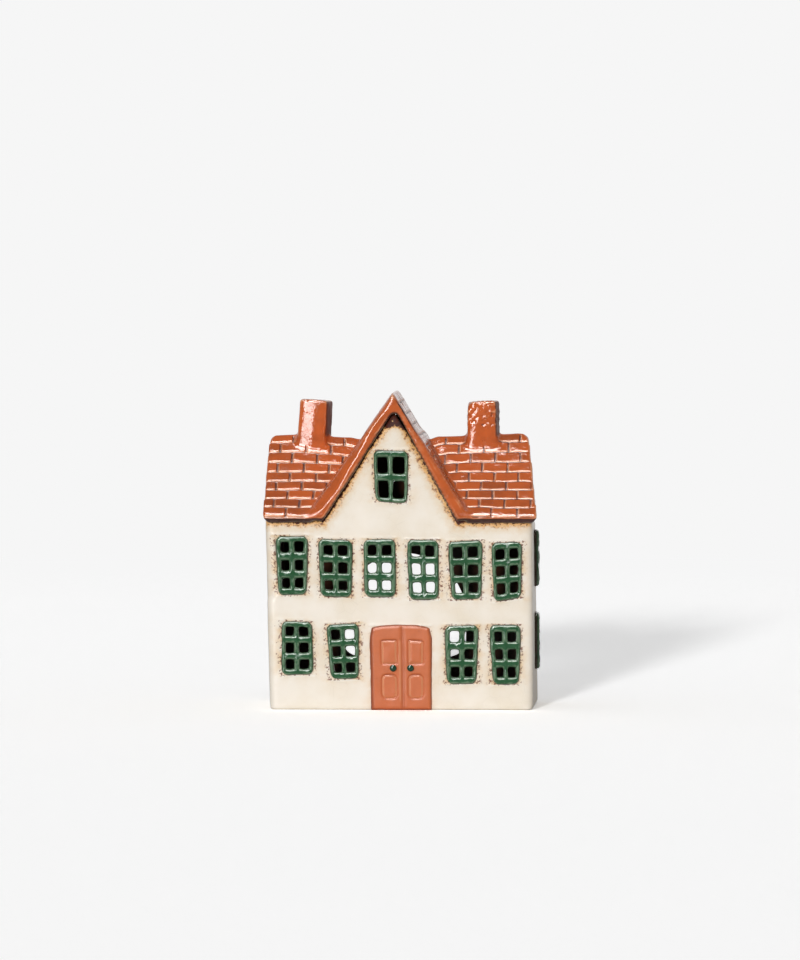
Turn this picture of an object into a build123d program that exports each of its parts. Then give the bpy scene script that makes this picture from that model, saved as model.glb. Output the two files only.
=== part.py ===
"""Tealight house: a slab-built, glazed pottery house with a rear arch that takes a tealight.

Millimetres. +Z is up and the front faces -Y. The origin is on the table, under the middle of the house.
Clay slabs butt together as they do before firing: floor, walls, roof slabs, chimneys, door and windows.
"""

import os
from math import ceil, cos, radians, sin, tan

from build123d import *

# Body of the house
HOUSE_WIDTH = 143.0  # across the front, outside the side walls
HOUSE_DEPTH = 84.0  # front to back, outside the walls
EAVES_HEIGHT = 101.9  # top of the front wall's outer face
WALL = 6.0  # wall slab
FLOOR = 6.0  # floor slab
CORNER_RADIUS = 4.0  # upright outer corners

# Roof
ROOF_PITCH = 41.0  # main roof, degrees
GABLE_PITCH = 57.0  # cross gable, degrees
GABLE_RISE = 25.8  # cross gable's peak above the main ridge
GABLE_OFFSET = -4.0  # cross gable's ridge from the middle of the front
ROOF_SLAB = 5.5  # roof slab, square to the slope
EAVES_OVERHANG = 5.0  # roof past the front and back walls
VERGE_OVERHANG = 2.8  # roof past the side walls, at the eaves
VERGE_TAPER = 2.4  # how far each verge draws in from eaves to ridge
ROOF_ROUND = 1.6  # rounding of the eaves and rake edges

# Brick courses pressed into the roof slabs
COURSE_HEIGHT = 6.9
BRICK_LENGTH = 12.4
JOINT_WIDTH = 0.9
JOINT_DEPTH = 0.8
VALLEY_MARGIN = 1.5  # plain strip beside each valley
BRICK_END = 3.0  # least piece of brick at the end of a course

# Chimneys, astride the main ridge
CHIMNEY_WIDTH = 17.5
CHIMNEY_DEPTH = 17.0
CHIMNEY_RISE = 20.0  # above the ridge
CHIMNEY_SPACING = 91.0  # between the two stacks' middles
CHIMNEY_OFFSET = -2.0  # of both stacks from the middle of the house
CHIMNEY_BEVEL = 1.5

# Window grids: frame pads with panes cut through, luted over openings in the walls
WINDOW_WIDTH = 17.8
WINDOW_HEIGHT = 31.0
ATTIC_WINDOW_WIDTH = 18.2
ATTIC_WINDOW_HEIGHT = 28.0
FRAME_THICKNESS = 2.6
FRAME_CORNER = 1.4  # cut off each corner of the pad
FRAME_BEVEL = 0.9  # softened front edge of the pad
FRAME_SEAT = 1.6  # how far the pad laps onto the wall
STILE = 2.4
MULLION = 3.2
TOP_RAIL = 3.2
BOTTOM_RAIL = 3.6
GLAZING_BAR = 4.1

# Window places
EDGE_MARGIN = 4.2  # outermost windows to the house's corner
UPPER_DROP = 10.4  # wall top to the upper windows
LOWER_SILL = 15.5  # table to the lower windows
ATTIC_MARGIN = 4.8  # attic window's top corners to the rake
SIDE_RAISE = 5.0  # side windows above the front ones

# Each front window was set by hand: (sideways, up, tilt in degrees) from its nominal place
UPPER_HAND = [
    (-0.7, 1.8, 1.0),
    (-0.4, 0.8, 0.5),
    (0.5, 0.5, 0.0),
    (0.2, -0.8, 1.8),
    (-0.5, -1.0, 2.0),
    (-1.1, -1.3, 1.4),
]
LOWER_HAND = [(-0.2, 1.7, 1.8), (0.8, -0.2, 2.8), (0.8, -1.3, 0.0), (-0.2, -1.5, 0.0)]
ATTIC_HAND = (-1.0, 0.0, 0.6)

# Double door
DOOR_WIDTH = 33.0
DOOR_HEIGHT = 45.4
DOOR_THICKNESS = 2.4
DOOR_CORNER = 1.5  # cut off each corner
DOOR_BEVEL = 0.7
DOOR_STILE = 4.8
DOOR_MIDDLE = 6.6  # both meeting stiles together
DOOR_TOP_RAIL = 8.0
DOOR_LOCK_RAIL = 6.2
DOOR_BOTTOM_RAIL = 6.2
PANEL_GROOVE = 1.3
PANEL_DEPTH = 0.8
LEAF_GAP = 0.8  # groove between the two leaves
KNOB_DIAMETER = 3.7
KNOB_RISE = 2.5  # in front of the door
KNOB_NECK = 0.5  # straight part against the door
KNOB_CROWN = 0.55  # flattened front, as a share of the diameter
KNOB_SPACING = 9.0

# Rear arch
ARCH_WIDTH = 68.0
ARCH_OFFSET = -1.4  # of the arch's middle from the middle of the house
ARCH_SILL = 25.0
ARCH_TOP = 81.75
ARCH_CORNER = 9.0

# Tealight, a standard aluminium-cup one
CUP_DIAMETER = 38.0
CUP_HEIGHT = 16.0
CUP_WALL = 0.4
CUP_BEAD = 0.5  # flattened rolled rim, half its width and height
WAX_DEPTH = 12.5
WICK_DIAMETER = 1.6
WICK_RISE = 5.0  # above the wax
TAB_DIAMETER = 12.0
TAB_THICKNESS = 0.4
TAB_COLLAR = 3.0  # collar that grips the wick, height
TAB_COLLAR_WALL = 0.4
WAX_SHRINK = 0.1  # wax drawn away from the cup's side
TEALIGHT_GAP = 3.0  # cup to the inside of the front wall

# Worked out from the dimensions above
HALF_WIDTH = HOUSE_WIDTH / 2
HALF_DEPTH = HOUSE_DEPTH / 2
EAVE_Y = HALF_DEPTH + EAVES_OVERHANG
VERGE_X = HALF_WIDTH + VERGE_OVERHANG
ROOF_RAD = radians(ROOF_PITCH)
GABLE_RAD = radians(GABLE_PITCH)
UNDER_RIDGE = EAVES_HEIGHT + HALF_DEPTH * tan(ROOF_RAD)
RIDGE = UNDER_RIDGE + ROOF_SLAB / cos(ROOF_RAD)
PEAK = RIDGE + GABLE_RISE
UNDER_PEAK = PEAK - ROOF_SLAB / cos(GABLE_RAD)
EAVE_Z = RIDGE - EAVE_Y * tan(ROOF_RAD)  # outer lower edge of the main roof
SLOPE_LENGTH = EAVE_Y / cos(ROOF_RAD)
GABLE_SLOPE = (PEAK - EAVE_Z + ROOF_SLAB) / sin(GABLE_RAD)
CUT = 1.0  # how far a cutter runs past the face that it cuts
NEAR = 1e-4  # closer than this counts as touching

# Planes of the outer faces
FRONT_SLOPE = Plane(origin=(0, 0, RIDGE), x_dir=(1, 0, 0), z_dir=(0, -sin(ROOF_RAD), cos(ROOF_RAD)))
GABLE_RIGHT_SLOPE = Plane(
    origin=(GABLE_OFFSET, 0, PEAK), x_dir=(0, 1, 0), z_dir=(sin(GABLE_RAD), 0, cos(GABLE_RAD))
)
GABLE_LEFT_SLOPE = Plane(
    origin=(GABLE_OFFSET, 0, PEAK), x_dir=(0, -1, 0), z_dir=(-sin(GABLE_RAD), 0, cos(GABLE_RAD))
)
FRONT_EAVE = Plane(
    origin=(0, -EAVE_Y, EAVE_Z), x_dir=(1, 0, 0), z_dir=(0, -cos(ROOF_RAD), -sin(ROOF_RAD))
)
FRONT_RAKE = Plane(origin=(0, -EAVE_Y, 0), x_dir=(1, 0, 0), z_dir=(0, -1, 0))
GABLE_RIDGE = Plane(origin=(GABLE_OFFSET, 0, 0), x_dir=(0, 1, 0), z_dir=(1, 0, 0))


def wall_place(side, along, up, tilt=0.0):
    """A plane on a wall's outer face: its x runs to the viewer's right and its z out of the wall."""
    origin, x_dir, z_dir = {
        "front": ((along, -HALF_DEPTH, up), (1, 0, 0), (0, -1, 0)),
        "right": ((HALF_WIDTH, along, up), (0, 1, 0), (1, 0, 0)),
        "left": ((-HALF_WIDTH, along, up), (0, -1, 0), (-1, 0, 0)),
    }[side]
    return Plane(origin=origin, x_dir=x_dir, z_dir=z_dir) * Rot(0, 0, tilt)


def window_places():
    """Every window's node name with its (place on the wall, width, height, columns, rows, side)."""
    places = {}
    upper_z = EAVES_HEIGHT - UPPER_DROP - WINDOW_HEIGHT / 2
    lower_z = LOWER_SILL + WINDOW_HEIGHT / 2
    outer_x = HALF_WIDTH - EDGE_MARGIN - WINDOW_WIDTH / 2
    pitch = 2 * outer_x / (len(UPPER_HAND) - 1)
    for i, (aside, up, tilt) in enumerate(UPPER_HAND):
        place = wall_place("front", -outer_x + i * pitch + aside, upper_z + up, tilt)
        places[f"upper_window_{i + 1}"] = (place, WINDOW_WIDTH, WINDOW_HEIGHT, 2, 3, "front")
    gap = (HALF_WIDTH - DOOR_WIDTH / 2 - 2 * WINDOW_WIDTH) / 3  # door, window, window, corner
    inner_x = DOOR_WIDTH / 2 + gap + WINDOW_WIDTH / 2
    lower_x = inner_x + gap + WINDOW_WIDTH
    lower_xs = [-lower_x, -inner_x, inner_x, lower_x]
    for i, ((aside, up, tilt), x) in enumerate(zip(LOWER_HAND, lower_xs)):
        place = wall_place("front", x + aside, lower_z + up, tilt)
        places[f"lower_window_{i + 1}"] = (place, WINDOW_WIDTH, WINDOW_HEIGHT, 2, 3, "front")
    clear = ATTIC_WINDOW_WIDTH / 2 + ATTIC_MARGIN + ROOF_SLAB / sin(GABLE_RAD)
    attic_z = PEAK - clear * tan(GABLE_RAD) - ATTIC_WINDOW_HEIGHT / 2
    aside, up, tilt = ATTIC_HAND
    attic = wall_place("front", GABLE_OFFSET + aside, attic_z + up, tilt)
    places["attic_window"] = (attic, ATTIC_WINDOW_WIDTH, ATTIC_WINDOW_HEIGHT, 2, 2, "front")
    for side in ("left", "right"):
        for floor, z in (("upper", upper_z), ("lower", lower_z)):
            place = wall_place(side, 0, z + SIDE_RAISE)
            places[f"{side}_{floor}_window"] = (place, WINDOW_WIDTH, WINDOW_HEIGHT, 2, 3, side)
    return places


def soft_pad(width, height, thickness, corner, bevel):
    """A flat pad of clay with its corners and its front edge taken off."""
    outline = Rectangle(width, height)
    pad = extrude(chamfer(outline.vertices(), corner), thickness)
    return chamfer(pad.faces().sort_by(Axis.Z)[-1].edges(), bevel)


def window_frame(width, height, columns, rows):
    """A window pad lying on its wall, with a grid of panes cut through it."""
    pane_width = (width - 2 * STILE - (columns - 1) * MULLION) / columns
    pane_height = (height - TOP_RAIL - BOTTOM_RAIL - (rows - 1) * GLAZING_BAR) / rows
    pad = soft_pad(width, height, FRAME_THICKNESS, FRAME_CORNER, FRAME_BEVEL)
    grid = GridLocations(pane_width + MULLION, pane_height + GLAZING_BAR, columns, rows)
    shift = Pos(0, (BOTTOM_RAIL - TOP_RAIL) / 2, -CUT)
    pane = extrude(Rectangle(pane_width, pane_height), FRAME_THICKNESS + 2 * CUT)
    return pad - [shift * spot * pane for spot in grid]


def wall_openings(places, side):
    """The holes in one wall, each a seat's width smaller than the window pad that covers it."""
    holes = []
    for place, width, height, _, _, on in places.values():
        if on == side:
            hole = Box(width - 2 * FRAME_SEAT, height - 2 * FRAME_SEAT, 2 * (WALL + CUT))
            holes.append(place * hole)
    return holes


def under_roof():
    """Everything below the roof slabs' inner faces: the main roof's prism and the cross gable's."""
    eave = UNDER_RIDGE - EAVE_Y * tan(ROOF_RAD)
    main = Polygon((-EAVE_Y, 0), (EAVE_Y, 0), (EAVE_Y, eave), (0, UNDER_RIDGE), (-EAVE_Y, eave), align=None)
    reach = UNDER_PEAK / tan(GABLE_RAD)
    gable = Polygon(
        (GABLE_OFFSET - reach, 0), (GABLE_OFFSET + reach, 0), (GABLE_OFFSET, UNDER_PEAK), align=None
    )
    return extrude(Plane.YZ * main, VERGE_X, both=True) + extrude(Plane.XZ * gable, EAVE_Y, both=True)


def wall_slab(width, depth):
    """An upright slab, tall enough to be trimmed under the roof, standing on the table."""
    return Box(width, depth, PEAK, align=(Align.CENTER, Align.CENTER, Align.MIN))


def long_wall(facing):
    """The front (-1) or back (1) wall with its gable, before its openings are cut."""
    wall = Pos(0, facing * (HALF_DEPTH - WALL / 2), 0) * wall_slab(HOUSE_WIDTH, WALL)
    outer = wall.faces().sort_by(Axis.Y)[0 if facing < 0 else -1]
    wall = fillet(outer.edges().filter_by(Axis.Z), CORNER_RADIUS)
    return wall & under_roof()


def front_wall(places):
    """The front wall, open behind each of its windows."""
    return long_wall(-1) - wall_openings(places, "front")


def back_wall():
    """The back wall with the arch that a hand and a tealight go through."""
    radius = ARCH_WIDTH / 2
    spring = ARCH_TOP - radius
    foot = Rectangle(ARCH_WIDTH, spring - ARCH_SILL, align=(Align.CENTER, Align.MAX))
    foot = fillet(foot.vertices().group_by(Axis.Y)[0], ARCH_CORNER)
    arch = Pos(ARCH_OFFSET, spring) * (foot + Circle(radius))
    cutter = extrude(Plane.XZ.offset(-HALF_DEPTH - CUT) * arch, WALL + 2 * CUT)
    return long_wall(1) - cutter


def side_wall(places, side):
    """A side wall between the front and back walls, rising to the main roof's gable."""
    x = (HALF_WIDTH - WALL / 2) * (1 if side == "right" else -1)
    wall = Pos(x, 0, 0) * wall_slab(WALL, HOUSE_DEPTH - 2 * WALL)
    return (wall & under_roof()) - wall_openings(places, side)


def floor_slab():
    """The floor, between the walls and level with their feet."""
    return Box(
        HOUSE_WIDTH - 2 * WALL, HOUSE_DEPTH - 2 * WALL, FLOOR, align=(Align.CENTER, Align.CENTER, Align.MIN)
    )


def valley(main_slope, gable_slope):
    """The mitre plane in the valley between two slopes, facing away from the main roof's slab."""
    across = (PEAK - RIDGE) / tan(GABLE_RAD) * (1 if gable_slope.z_dir.X > 0 else -1)
    return Plane(origin=(GABLE_OFFSET + across, 0, RIDGE), z_dir=main_slope.z_dir - gable_slope.z_dir)


def main_span(side):
    """Where brickwork lies on a main slope: the (low, high) reach of a joint, so far up the slope."""

    def span(up):
        valley_x = (GABLE_RISE - up * sin(ROOF_RAD)) / tan(GABLE_RAD) + VALLEY_MARGIN
        if side == "right":
            return [(GABLE_OFFSET + valley_x, VERGE_X + CUT)]
        return [(-VERGE_X - CUT, GABLE_OFFSET - valley_x)]

    return span


def gable_span(up):
    """The same for a gable slope, which parts into a front and a back tail below the main ridge."""
    drop = -up * sin(GABLE_RAD) - GABLE_RISE
    if drop < -VALLEY_MARGIN:
        return [(-EAVE_Y - CUT, EAVE_Y + CUT)]
    notch = max(drop, 0) / tan(ROOF_RAD) + VALLEY_MARGIN
    if notch > EAVE_Y - BRICK_END:
        return []
    return [(-EAVE_Y - CUT, -notch), (notch, EAVE_Y + CUT)]


def mortar(slope, length, span):
    """The joints between brick courses, as grooves in a slope: beds right across, heads in half bond."""
    courses = max(2, round(length / COURSE_HEIGHT))
    beds = [-row * length / courses for row in range(1, courses)]
    joints = []
    for bed in beds:
        for low, high in span(bed):
            joints.append(Pos((low + high) / 2, bed) * Rectangle(high - low, JOINT_WIDTH))
    bricks = ceil(VERGE_X / BRICK_LENGTH)
    for row, (top, foot) in enumerate(zip([CUT, *beds], [*beds, -length - CUT])):
        head = Rectangle(JOINT_WIDTH, top - foot, align=(Align.CENTER, Align.MIN))
        for brick in range(-bricks, bricks + 1):
            x = (brick + row % 2 / 2) * BRICK_LENGTH
            if all(any(low + BRICK_END < x < high - BRICK_END for low, high in span(v)) for v in (top, foot)):
                joints.append(Pos(x, foot) * head)
    return extrude(slope.offset(CUT) * (Sketch() + joints), -CUT - JOINT_DEPTH)


def edges_on(part, *planes):
    """The edges whose two ends lie on every one of these planes."""
    found = []
    for edge in part.edges():
        ends = [edge @ 0, edge @ 1]
        if all(abs(plane.to_local_coords(end).Z) < NEAR for plane in planes for end in ends):
            found.append(edge)
    return ShapeList(found)


def main_roof(side):
    """One front slab of the main roof, from its verge to the valley beside the cross gable."""
    ridge_x = VERGE_X - VERGE_TAPER
    outline = Polygon(
        (-VERGE_X, -SLOPE_LENGTH), (VERGE_X, -SLOPE_LENGTH), (ridge_x, 0), (-ridge_x, 0), align=None
    )
    gable_slope = GABLE_RIGHT_SLOPE if side == "right" else GABLE_LEFT_SLOPE
    slab = extrude(FRONT_SLOPE * outline, -ROOF_SLAB)
    slab = split(slab, bisect_by=Plane.XZ, keep=Keep.TOP)
    slab = split(slab, bisect_by=valley(FRONT_SLOPE, gable_slope), keep=Keep.BOTTOM)
    slab = fillet(edges_on(slab, FRONT_SLOPE, FRONT_EAVE), ROOF_ROUND)
    return slab - mortar(FRONT_SLOPE, SLOPE_LENGTH, main_span(side))


def gable_roof():
    """The cross gable's right slab, mitred into the main roof at the front valley and the back one."""
    outline = Rectangle(EAVE_Y, GABLE_SLOPE, align=(Align.MAX, Align.MAX))
    half = extrude(GABLE_RIGHT_SLOPE * outline, -ROOF_SLAB)
    half = split(half, bisect_by=GABLE_RIDGE, keep=Keep.TOP)
    half = split(half, bisect_by=valley(FRONT_SLOPE, GABLE_RIGHT_SLOPE), keep=Keep.TOP)
    half = split(half, bisect_by=FRONT_EAVE, keep=Keep.BOTTOM)
    half = fillet(edges_on(half, GABLE_RIGHT_SLOPE, FRONT_RAKE), ROOF_ROUND)
    slab = half + mirror(half, about=Plane.XZ)
    return slab - mortar(GABLE_RIGHT_SLOPE, GABLE_SLOPE, gable_span)


def chimney(x):
    """A solid stack with softened edges, its foot cut to sit astride the main ridge."""
    foot = RIDGE - CHIMNEY_DEPTH / 2 * tan(ROOF_RAD)
    height = RIDGE + CHIMNEY_RISE - foot
    stack = Box(CHIMNEY_WIDTH, CHIMNEY_DEPTH, height, align=(Align.CENTER, Align.CENTER, Align.MIN))
    uprights = stack.edges().filter_by(Axis.Z)
    stack = chamfer([*uprights, *stack.faces().sort_by(Axis.Z)[-1].edges()], CHIMNEY_BEVEL)
    roof = Polygon((-EAVE_Y, EAVE_Z), (EAVE_Y, EAVE_Z), (0, RIDGE), align=None)
    return Pos(x, 0, foot) * stack - extrude(Plane.YZ * roof, VERGE_X, both=True)


def door():
    """The double door: one slab with a groove between its leaves and four raised-field panels."""
    slab = soft_pad(DOOR_WIDTH, DOOR_HEIGHT, DOOR_THICKNESS, DOOR_CORNER, DOOR_BEVEL)
    width = (DOOR_WIDTH - 2 * DOOR_STILE - DOOR_MIDDLE) / 2
    height = (DOOR_HEIGHT - DOOR_TOP_RAIL - DOOR_LOCK_RAIL - DOOR_BOTTOM_RAIL) / 2
    ring = Rectangle(width, height) - Rectangle(width - 2 * PANEL_GROOVE, height - 2 * PANEL_GROOVE)
    spots = GridLocations(width + DOOR_MIDDLE, height + DOOR_LOCK_RAIL, 2, 2)
    middle = (DOOR_BOTTOM_RAIL - DOOR_TOP_RAIL) / 2
    groove = Pos(0, -DOOR_TOP_RAIL / 2) * Rectangle(LEAF_GAP, DOOR_HEIGHT - DOOR_TOP_RAIL)
    cuts = groove + [Pos(0, middle) * spot * ring for spot in spots]
    slab -= extrude(Pos(0, 0, DOOR_THICKNESS + CUT) * cuts, -CUT - PANEL_DEPTH)
    return wall_place("front", 0, DOOR_HEIGHT / 2) * slab


def door_knob(side):
    """A button of clay pressed onto the meeting stile, level with the lock rail."""
    panel = (DOOR_HEIGHT - DOOR_TOP_RAIL - DOOR_LOCK_RAIL - DOOR_BOTTOM_RAIL) / 2
    height = DOOR_BOTTOM_RAIL + panel + DOOR_LOCK_RAIL / 2
    radius = KNOB_DIAMETER / 2
    crown = radius * KNOB_CROWN
    knob = turned(
        Polygon((0, 0), (radius, 0), (radius, KNOB_NECK), (crown, KNOB_RISE), (0, KNOB_RISE), align=None)
    )
    return wall_place("front", side * KNOB_SPACING / 2, height) * Pos(0, 0, DOOR_THICKNESS) * knob


def turned(profile):
    """A profile drawn as (radius, height), turned about Z."""
    return revolve(Plane.XZ * profile, Axis.Z)


def upright(radius, bottom, top):
    """A plain round bar about Z."""
    return Pos(0, 0, bottom) * Cylinder(radius, top - bottom, align=(Align.CENTER, Align.CENTER, Align.MIN))


def tealight():
    """The tealight's cup, wax, wick and wick tab, standing on the floor behind the door."""
    middle = CUP_DIAMETER / 2 - CUP_BEAD
    outer = middle + CUP_WALL / 2
    inner = middle - CUP_WALL / 2
    lip = CUP_HEIGHT - CUP_BEAD
    shell = Polygon(
        (0, 0), (outer, 0), (outer, lip), (inner, lip), (inner, CUP_WALL), (0, CUP_WALL), align=None
    )
    cup = turned(shell + Pos(middle, lip) * Rectangle(2 * CUP_BEAD, 2 * CUP_BEAD))
    tab_top = CUP_WALL + TAB_THICKNESS
    wax_top = CUP_WALL + WAX_DEPTH
    wick = upright(WICK_DIAMETER / 2, tab_top, wax_top + WICK_RISE)
    plate = upright(TAB_DIAMETER / 2, CUP_WALL, tab_top)
    collar = upright(WICK_DIAMETER / 2 + TAB_COLLAR_WALL, tab_top, tab_top + TAB_COLLAR)
    tab = plate + collar - wick
    wax = upright(inner - WAX_SHRINK, CUP_WALL, wax_top) - plate - collar - wick
    spot = Pos(0, -HALF_DEPTH + WALL + TEALIGHT_GAP + CUP_DIAMETER / 2, FLOOR)
    pieces = {"tealight_cup": cup, "tealight_wax": wax, "tealight_wick": wick, "tealight_wick_tab": tab}
    return {name: spot * piece for name, piece in pieces.items()}


def tealight_house():
    """Every piece, by node name."""
    places = window_places()
    pieces = {
        "floor_slab": floor_slab(),
        "front_wall": front_wall(places),
        "back_wall": back_wall(),
        "left_wall": side_wall(places, "left"),
        "right_wall": side_wall(places, "right"),
        "chimney_left": chimney(CHIMNEY_OFFSET - CHIMNEY_SPACING / 2),
        "chimney_right": chimney(CHIMNEY_OFFSET + CHIMNEY_SPACING / 2),
        "door": door(),
        "door_knob_left": door_knob(-1),
        "door_knob_right": door_knob(1),
    }
    for side in ("left", "right"):
        slab = main_roof(side)
        pieces[f"roof_front_{side}"] = slab
        pieces[f"roof_back_{side}"] = mirror(slab, about=Plane.XZ)
    right = gable_roof()
    pieces["gable_roof_right"] = right
    pieces["gable_roof_left"] = mirror(right, about=GABLE_RIDGE)
    for name, (place, width, height, columns, rows, _) in places.items():
        pieces[name] = place * window_frame(width, height, columns, rows)
    pieces.update(tealight())
    return pieces


os.makedirs("parts", exist_ok=True)
for name, piece in tealight_house().items():
    export_step(piece, f"parts/{name}.step")
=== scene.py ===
"""The looks of a glazed pottery tealight house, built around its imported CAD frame.

Every clay piece is made in the same way: plain slabs are joined, remeshed in even steps and softened, as clay
is when it is luted and sponged, then nudged by hand and glazed. Lengths in the code are millimetres, and
meshes are handed to Blender in metres.
"""

import math

import bpy
import numpy as np
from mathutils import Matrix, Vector


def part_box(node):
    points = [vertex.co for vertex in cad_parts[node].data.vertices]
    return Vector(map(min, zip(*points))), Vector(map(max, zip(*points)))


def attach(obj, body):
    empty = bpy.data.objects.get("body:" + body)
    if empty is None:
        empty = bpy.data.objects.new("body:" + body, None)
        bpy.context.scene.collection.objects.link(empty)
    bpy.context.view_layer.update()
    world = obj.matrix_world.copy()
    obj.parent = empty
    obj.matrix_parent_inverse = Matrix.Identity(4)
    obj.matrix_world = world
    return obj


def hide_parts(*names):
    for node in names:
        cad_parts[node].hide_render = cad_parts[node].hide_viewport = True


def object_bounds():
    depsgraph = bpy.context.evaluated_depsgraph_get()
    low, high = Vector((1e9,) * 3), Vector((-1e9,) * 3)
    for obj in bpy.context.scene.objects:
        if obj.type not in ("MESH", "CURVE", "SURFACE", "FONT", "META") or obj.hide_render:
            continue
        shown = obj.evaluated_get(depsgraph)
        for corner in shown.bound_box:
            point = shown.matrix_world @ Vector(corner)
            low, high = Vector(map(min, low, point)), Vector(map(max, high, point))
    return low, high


bl_info = {
    "name": "Tealight House",
    "version": (1, 0, 0),
    "blender": (4, 5, 0),
    "location": "View3D > Sidebar > Tealight House",
    "description": "Builds the glazed walls, roof, windows, door and tealight of a pottery house",
    "category": "Object",
}

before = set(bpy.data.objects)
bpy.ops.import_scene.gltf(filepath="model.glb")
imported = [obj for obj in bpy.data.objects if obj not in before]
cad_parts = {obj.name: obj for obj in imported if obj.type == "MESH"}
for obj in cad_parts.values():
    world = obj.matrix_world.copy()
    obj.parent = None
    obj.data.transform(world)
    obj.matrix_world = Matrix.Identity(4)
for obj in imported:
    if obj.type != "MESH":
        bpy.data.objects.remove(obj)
cad_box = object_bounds()

MM = 0.001
WALL_NODES = ("front_wall", "back_wall", "left_wall", "right_wall", "floor_slab")
ROOF_NODES = (
    "roof_front_left", "roof_front_right", "roof_back_left", "roof_back_right",
    "gable_roof_left", "gable_roof_right", "chimney_left", "chimney_right",
)  # fmt: skip

# Corners of each front window pad as (x, z): top left, top right, bottom right, bottom left.
PAD_CORNERS = {
    "attic_window": ((-15.0, 140.6), (4.4, 140.5), (3.9, 111.7), (-13.6, 112.9)),
    "upper_window_1": ((-67.9, 94.3), (-49.9, 94.2), (-50.7, 62.4), (-66.2, 61.9)),
    "upper_window_2": ((-44.7, 92.8), (-25.8, 92.1), (-26.3, 61.0), (-43.4, 61.4)),
    "upper_window_3": ((-20.2, 92.5), (-2.5, 92.8), (-2.5, 61.0), (-19.5, 61.4)),
    "upper_window_4": ((3.2, 92.3), (20.8, 92.3), (20.8, 60.0), (4.6, 59.7)),
    "upper_window_5": ((25.4, 91.4), (44.5, 92.1), (43.9, 60.2), (27.7, 59.7)),
    "upper_window_6": ((48.8, 90.7), (65.8, 91.4), (65.4, 61.0), (50.5, 58.7)),
    "lower_window_1": ((-64.5, 48.3), (-47.8, 47.6), (-46.9, 19.2), (-64.5, 18.8)),
    "lower_window_2": ((-40.4, 46.2), (-22.4, 47.2), (-22.4, 16.9), (-37.6, 16.6)),
    "lower_window_3": ((23.8, 45.9), (42.5, 46.2), (41.1, 14.4), (25.0, 14.2)),
    "lower_window_4": ((47.7, 46.2), (65.3, 46.4), (64.3, 14.2), (50.1, 13.8)),
}

# Widths of a window's stiles, mullion, top rail, bottom rail and bars, by its rows of panes.
BAR_WIDTHS = {2: (2.2, 2.5, 3.5, 2.9, 4.0), 3: (2.6, 3.0, 3.3, 3.7, 4.0)}

# The door's panels: edges as shares of its width and height, with the radius of each row's corners.
PANEL_COLUMNS = ((0.19, 0.432), (0.627, 0.86))
PANEL_ROWS = ((0.14, 0.415, 2.6), (0.545, 0.82, 0.9))
LEAF_GAP, MEETING_EDGE = 0.53, 0.485
KNOB_RISE = 1.1  # how far the knobs are pressed on above the middle of their CAD nodes


# Properties


def length(name, description, millimetres):
    """A length property, given in millimetres and kept in metres."""
    return bpy.props.FloatProperty(
        name=name, description=description, default=millimetres * MM, min=0, unit="LENGTH", precision=5
    )


def colour(name, description, red, green, blue):
    """A colour property, given as it reads on a screen, from 0 to 255."""
    linear = [
        c / 255 / 12.92 if c <= 10 else ((c / 255 + 0.055) / 1.055) ** 2.4 for c in (red, green, blue)
    ]
    return bpy.props.FloatVectorProperty(
        name=name, description=description, default=linear, size=3, min=0, max=1, subtype="COLOR"
    )


class TealightHouseSizes(bpy.types.PropertyGroup):
    """Sizes that the potter's hand sets, over the ones the CAD frame gives."""

    wall_step: length("Wall step", "Size of the walls' even faces", 0.7)
    roof_step: length("Roof step", "Size of the roof's even faces", 0.42)
    pad_step: length("Pad step", "Size of the window pads' and door's even faces", 0.3)
    unevenness: length("Unevenness", "How far the walls wander from flat", 0.28)
    lean: length("Lean", "How far the foot of the walls stands to the right of the eaves", 2.6)
    taper: length("Taper", "How far the back of the right end draws in at the top and out at the foot", 0.8)
    course: length("Course", "Height of a brick course along the slope", 6.9)
    brick: length("Brick", "Length of a brick, from joint to joint", 13.9)
    joint: length("Joint", "Half the width of the pressed joint between bricks", 0.8)
    joint_depth: length("Joint depth", "How deep the joints are pressed", 0.75)


class TealightHouseColours(bpy.types.PropertyGroup):
    """Colours of the glazes and the clay."""

    cream: colour("Cream glaze", "The walls", 245, 236, 223)
    ochre: colour("Ochre break", "Cream glaze where it thins round the pads and by the roof", 222, 178, 108)
    amber: colour("Amber fringe", "Cream glaze where it runs against the roof's glaze", 228, 166, 80)
    clay: colour("Bare clay", "The inside of the house", 66, 41, 29)
    speckle: colour("Speckles", "Iron specks in the cream glaze", 112, 52, 30)
    # Also used as painted shade under the gable's apex and on the window pads' outer sides.
    seam: colour("Seam", "The ragged line where the roof's glaze meets the walls'", 70, 38, 34)
    roof: colour("Roof glaze", "The bricks, the rakes and the chimneys", 198, 96, 46)
    # Also used as a painted highlight on the bricks' feet and left edges, and on the door's panel edges and
    # meeting edge.
    roof_thin: colour("Thin roof glaze", "Roof glaze where it breaks over an edge", 230, 164, 120)
    # Also used as painted shade in the joints and on the chimneys' right faces.
    roof_pool: colour("Pooled roof glaze", "Roof glaze where it pools in a joint", 88, 36, 18)
    green: colour("Green glaze", "The window pads", 42, 88, 55)
    green_thin: colour("Thin green glaze", "Green glaze where it breaks over an edge", 150, 174, 144)
    door: colour("Door slip", "The double door", 204, 112, 70)
    # Also used as painted shade along the tops of the panels, in the leaf gap and down the door's left edge.
    door_pool: colour("Pooled door slip", "Door slip in its grooves", 136, 64, 40)
    knob: colour("Knob glaze", "The door knobs", 22, 52, 36)


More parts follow.
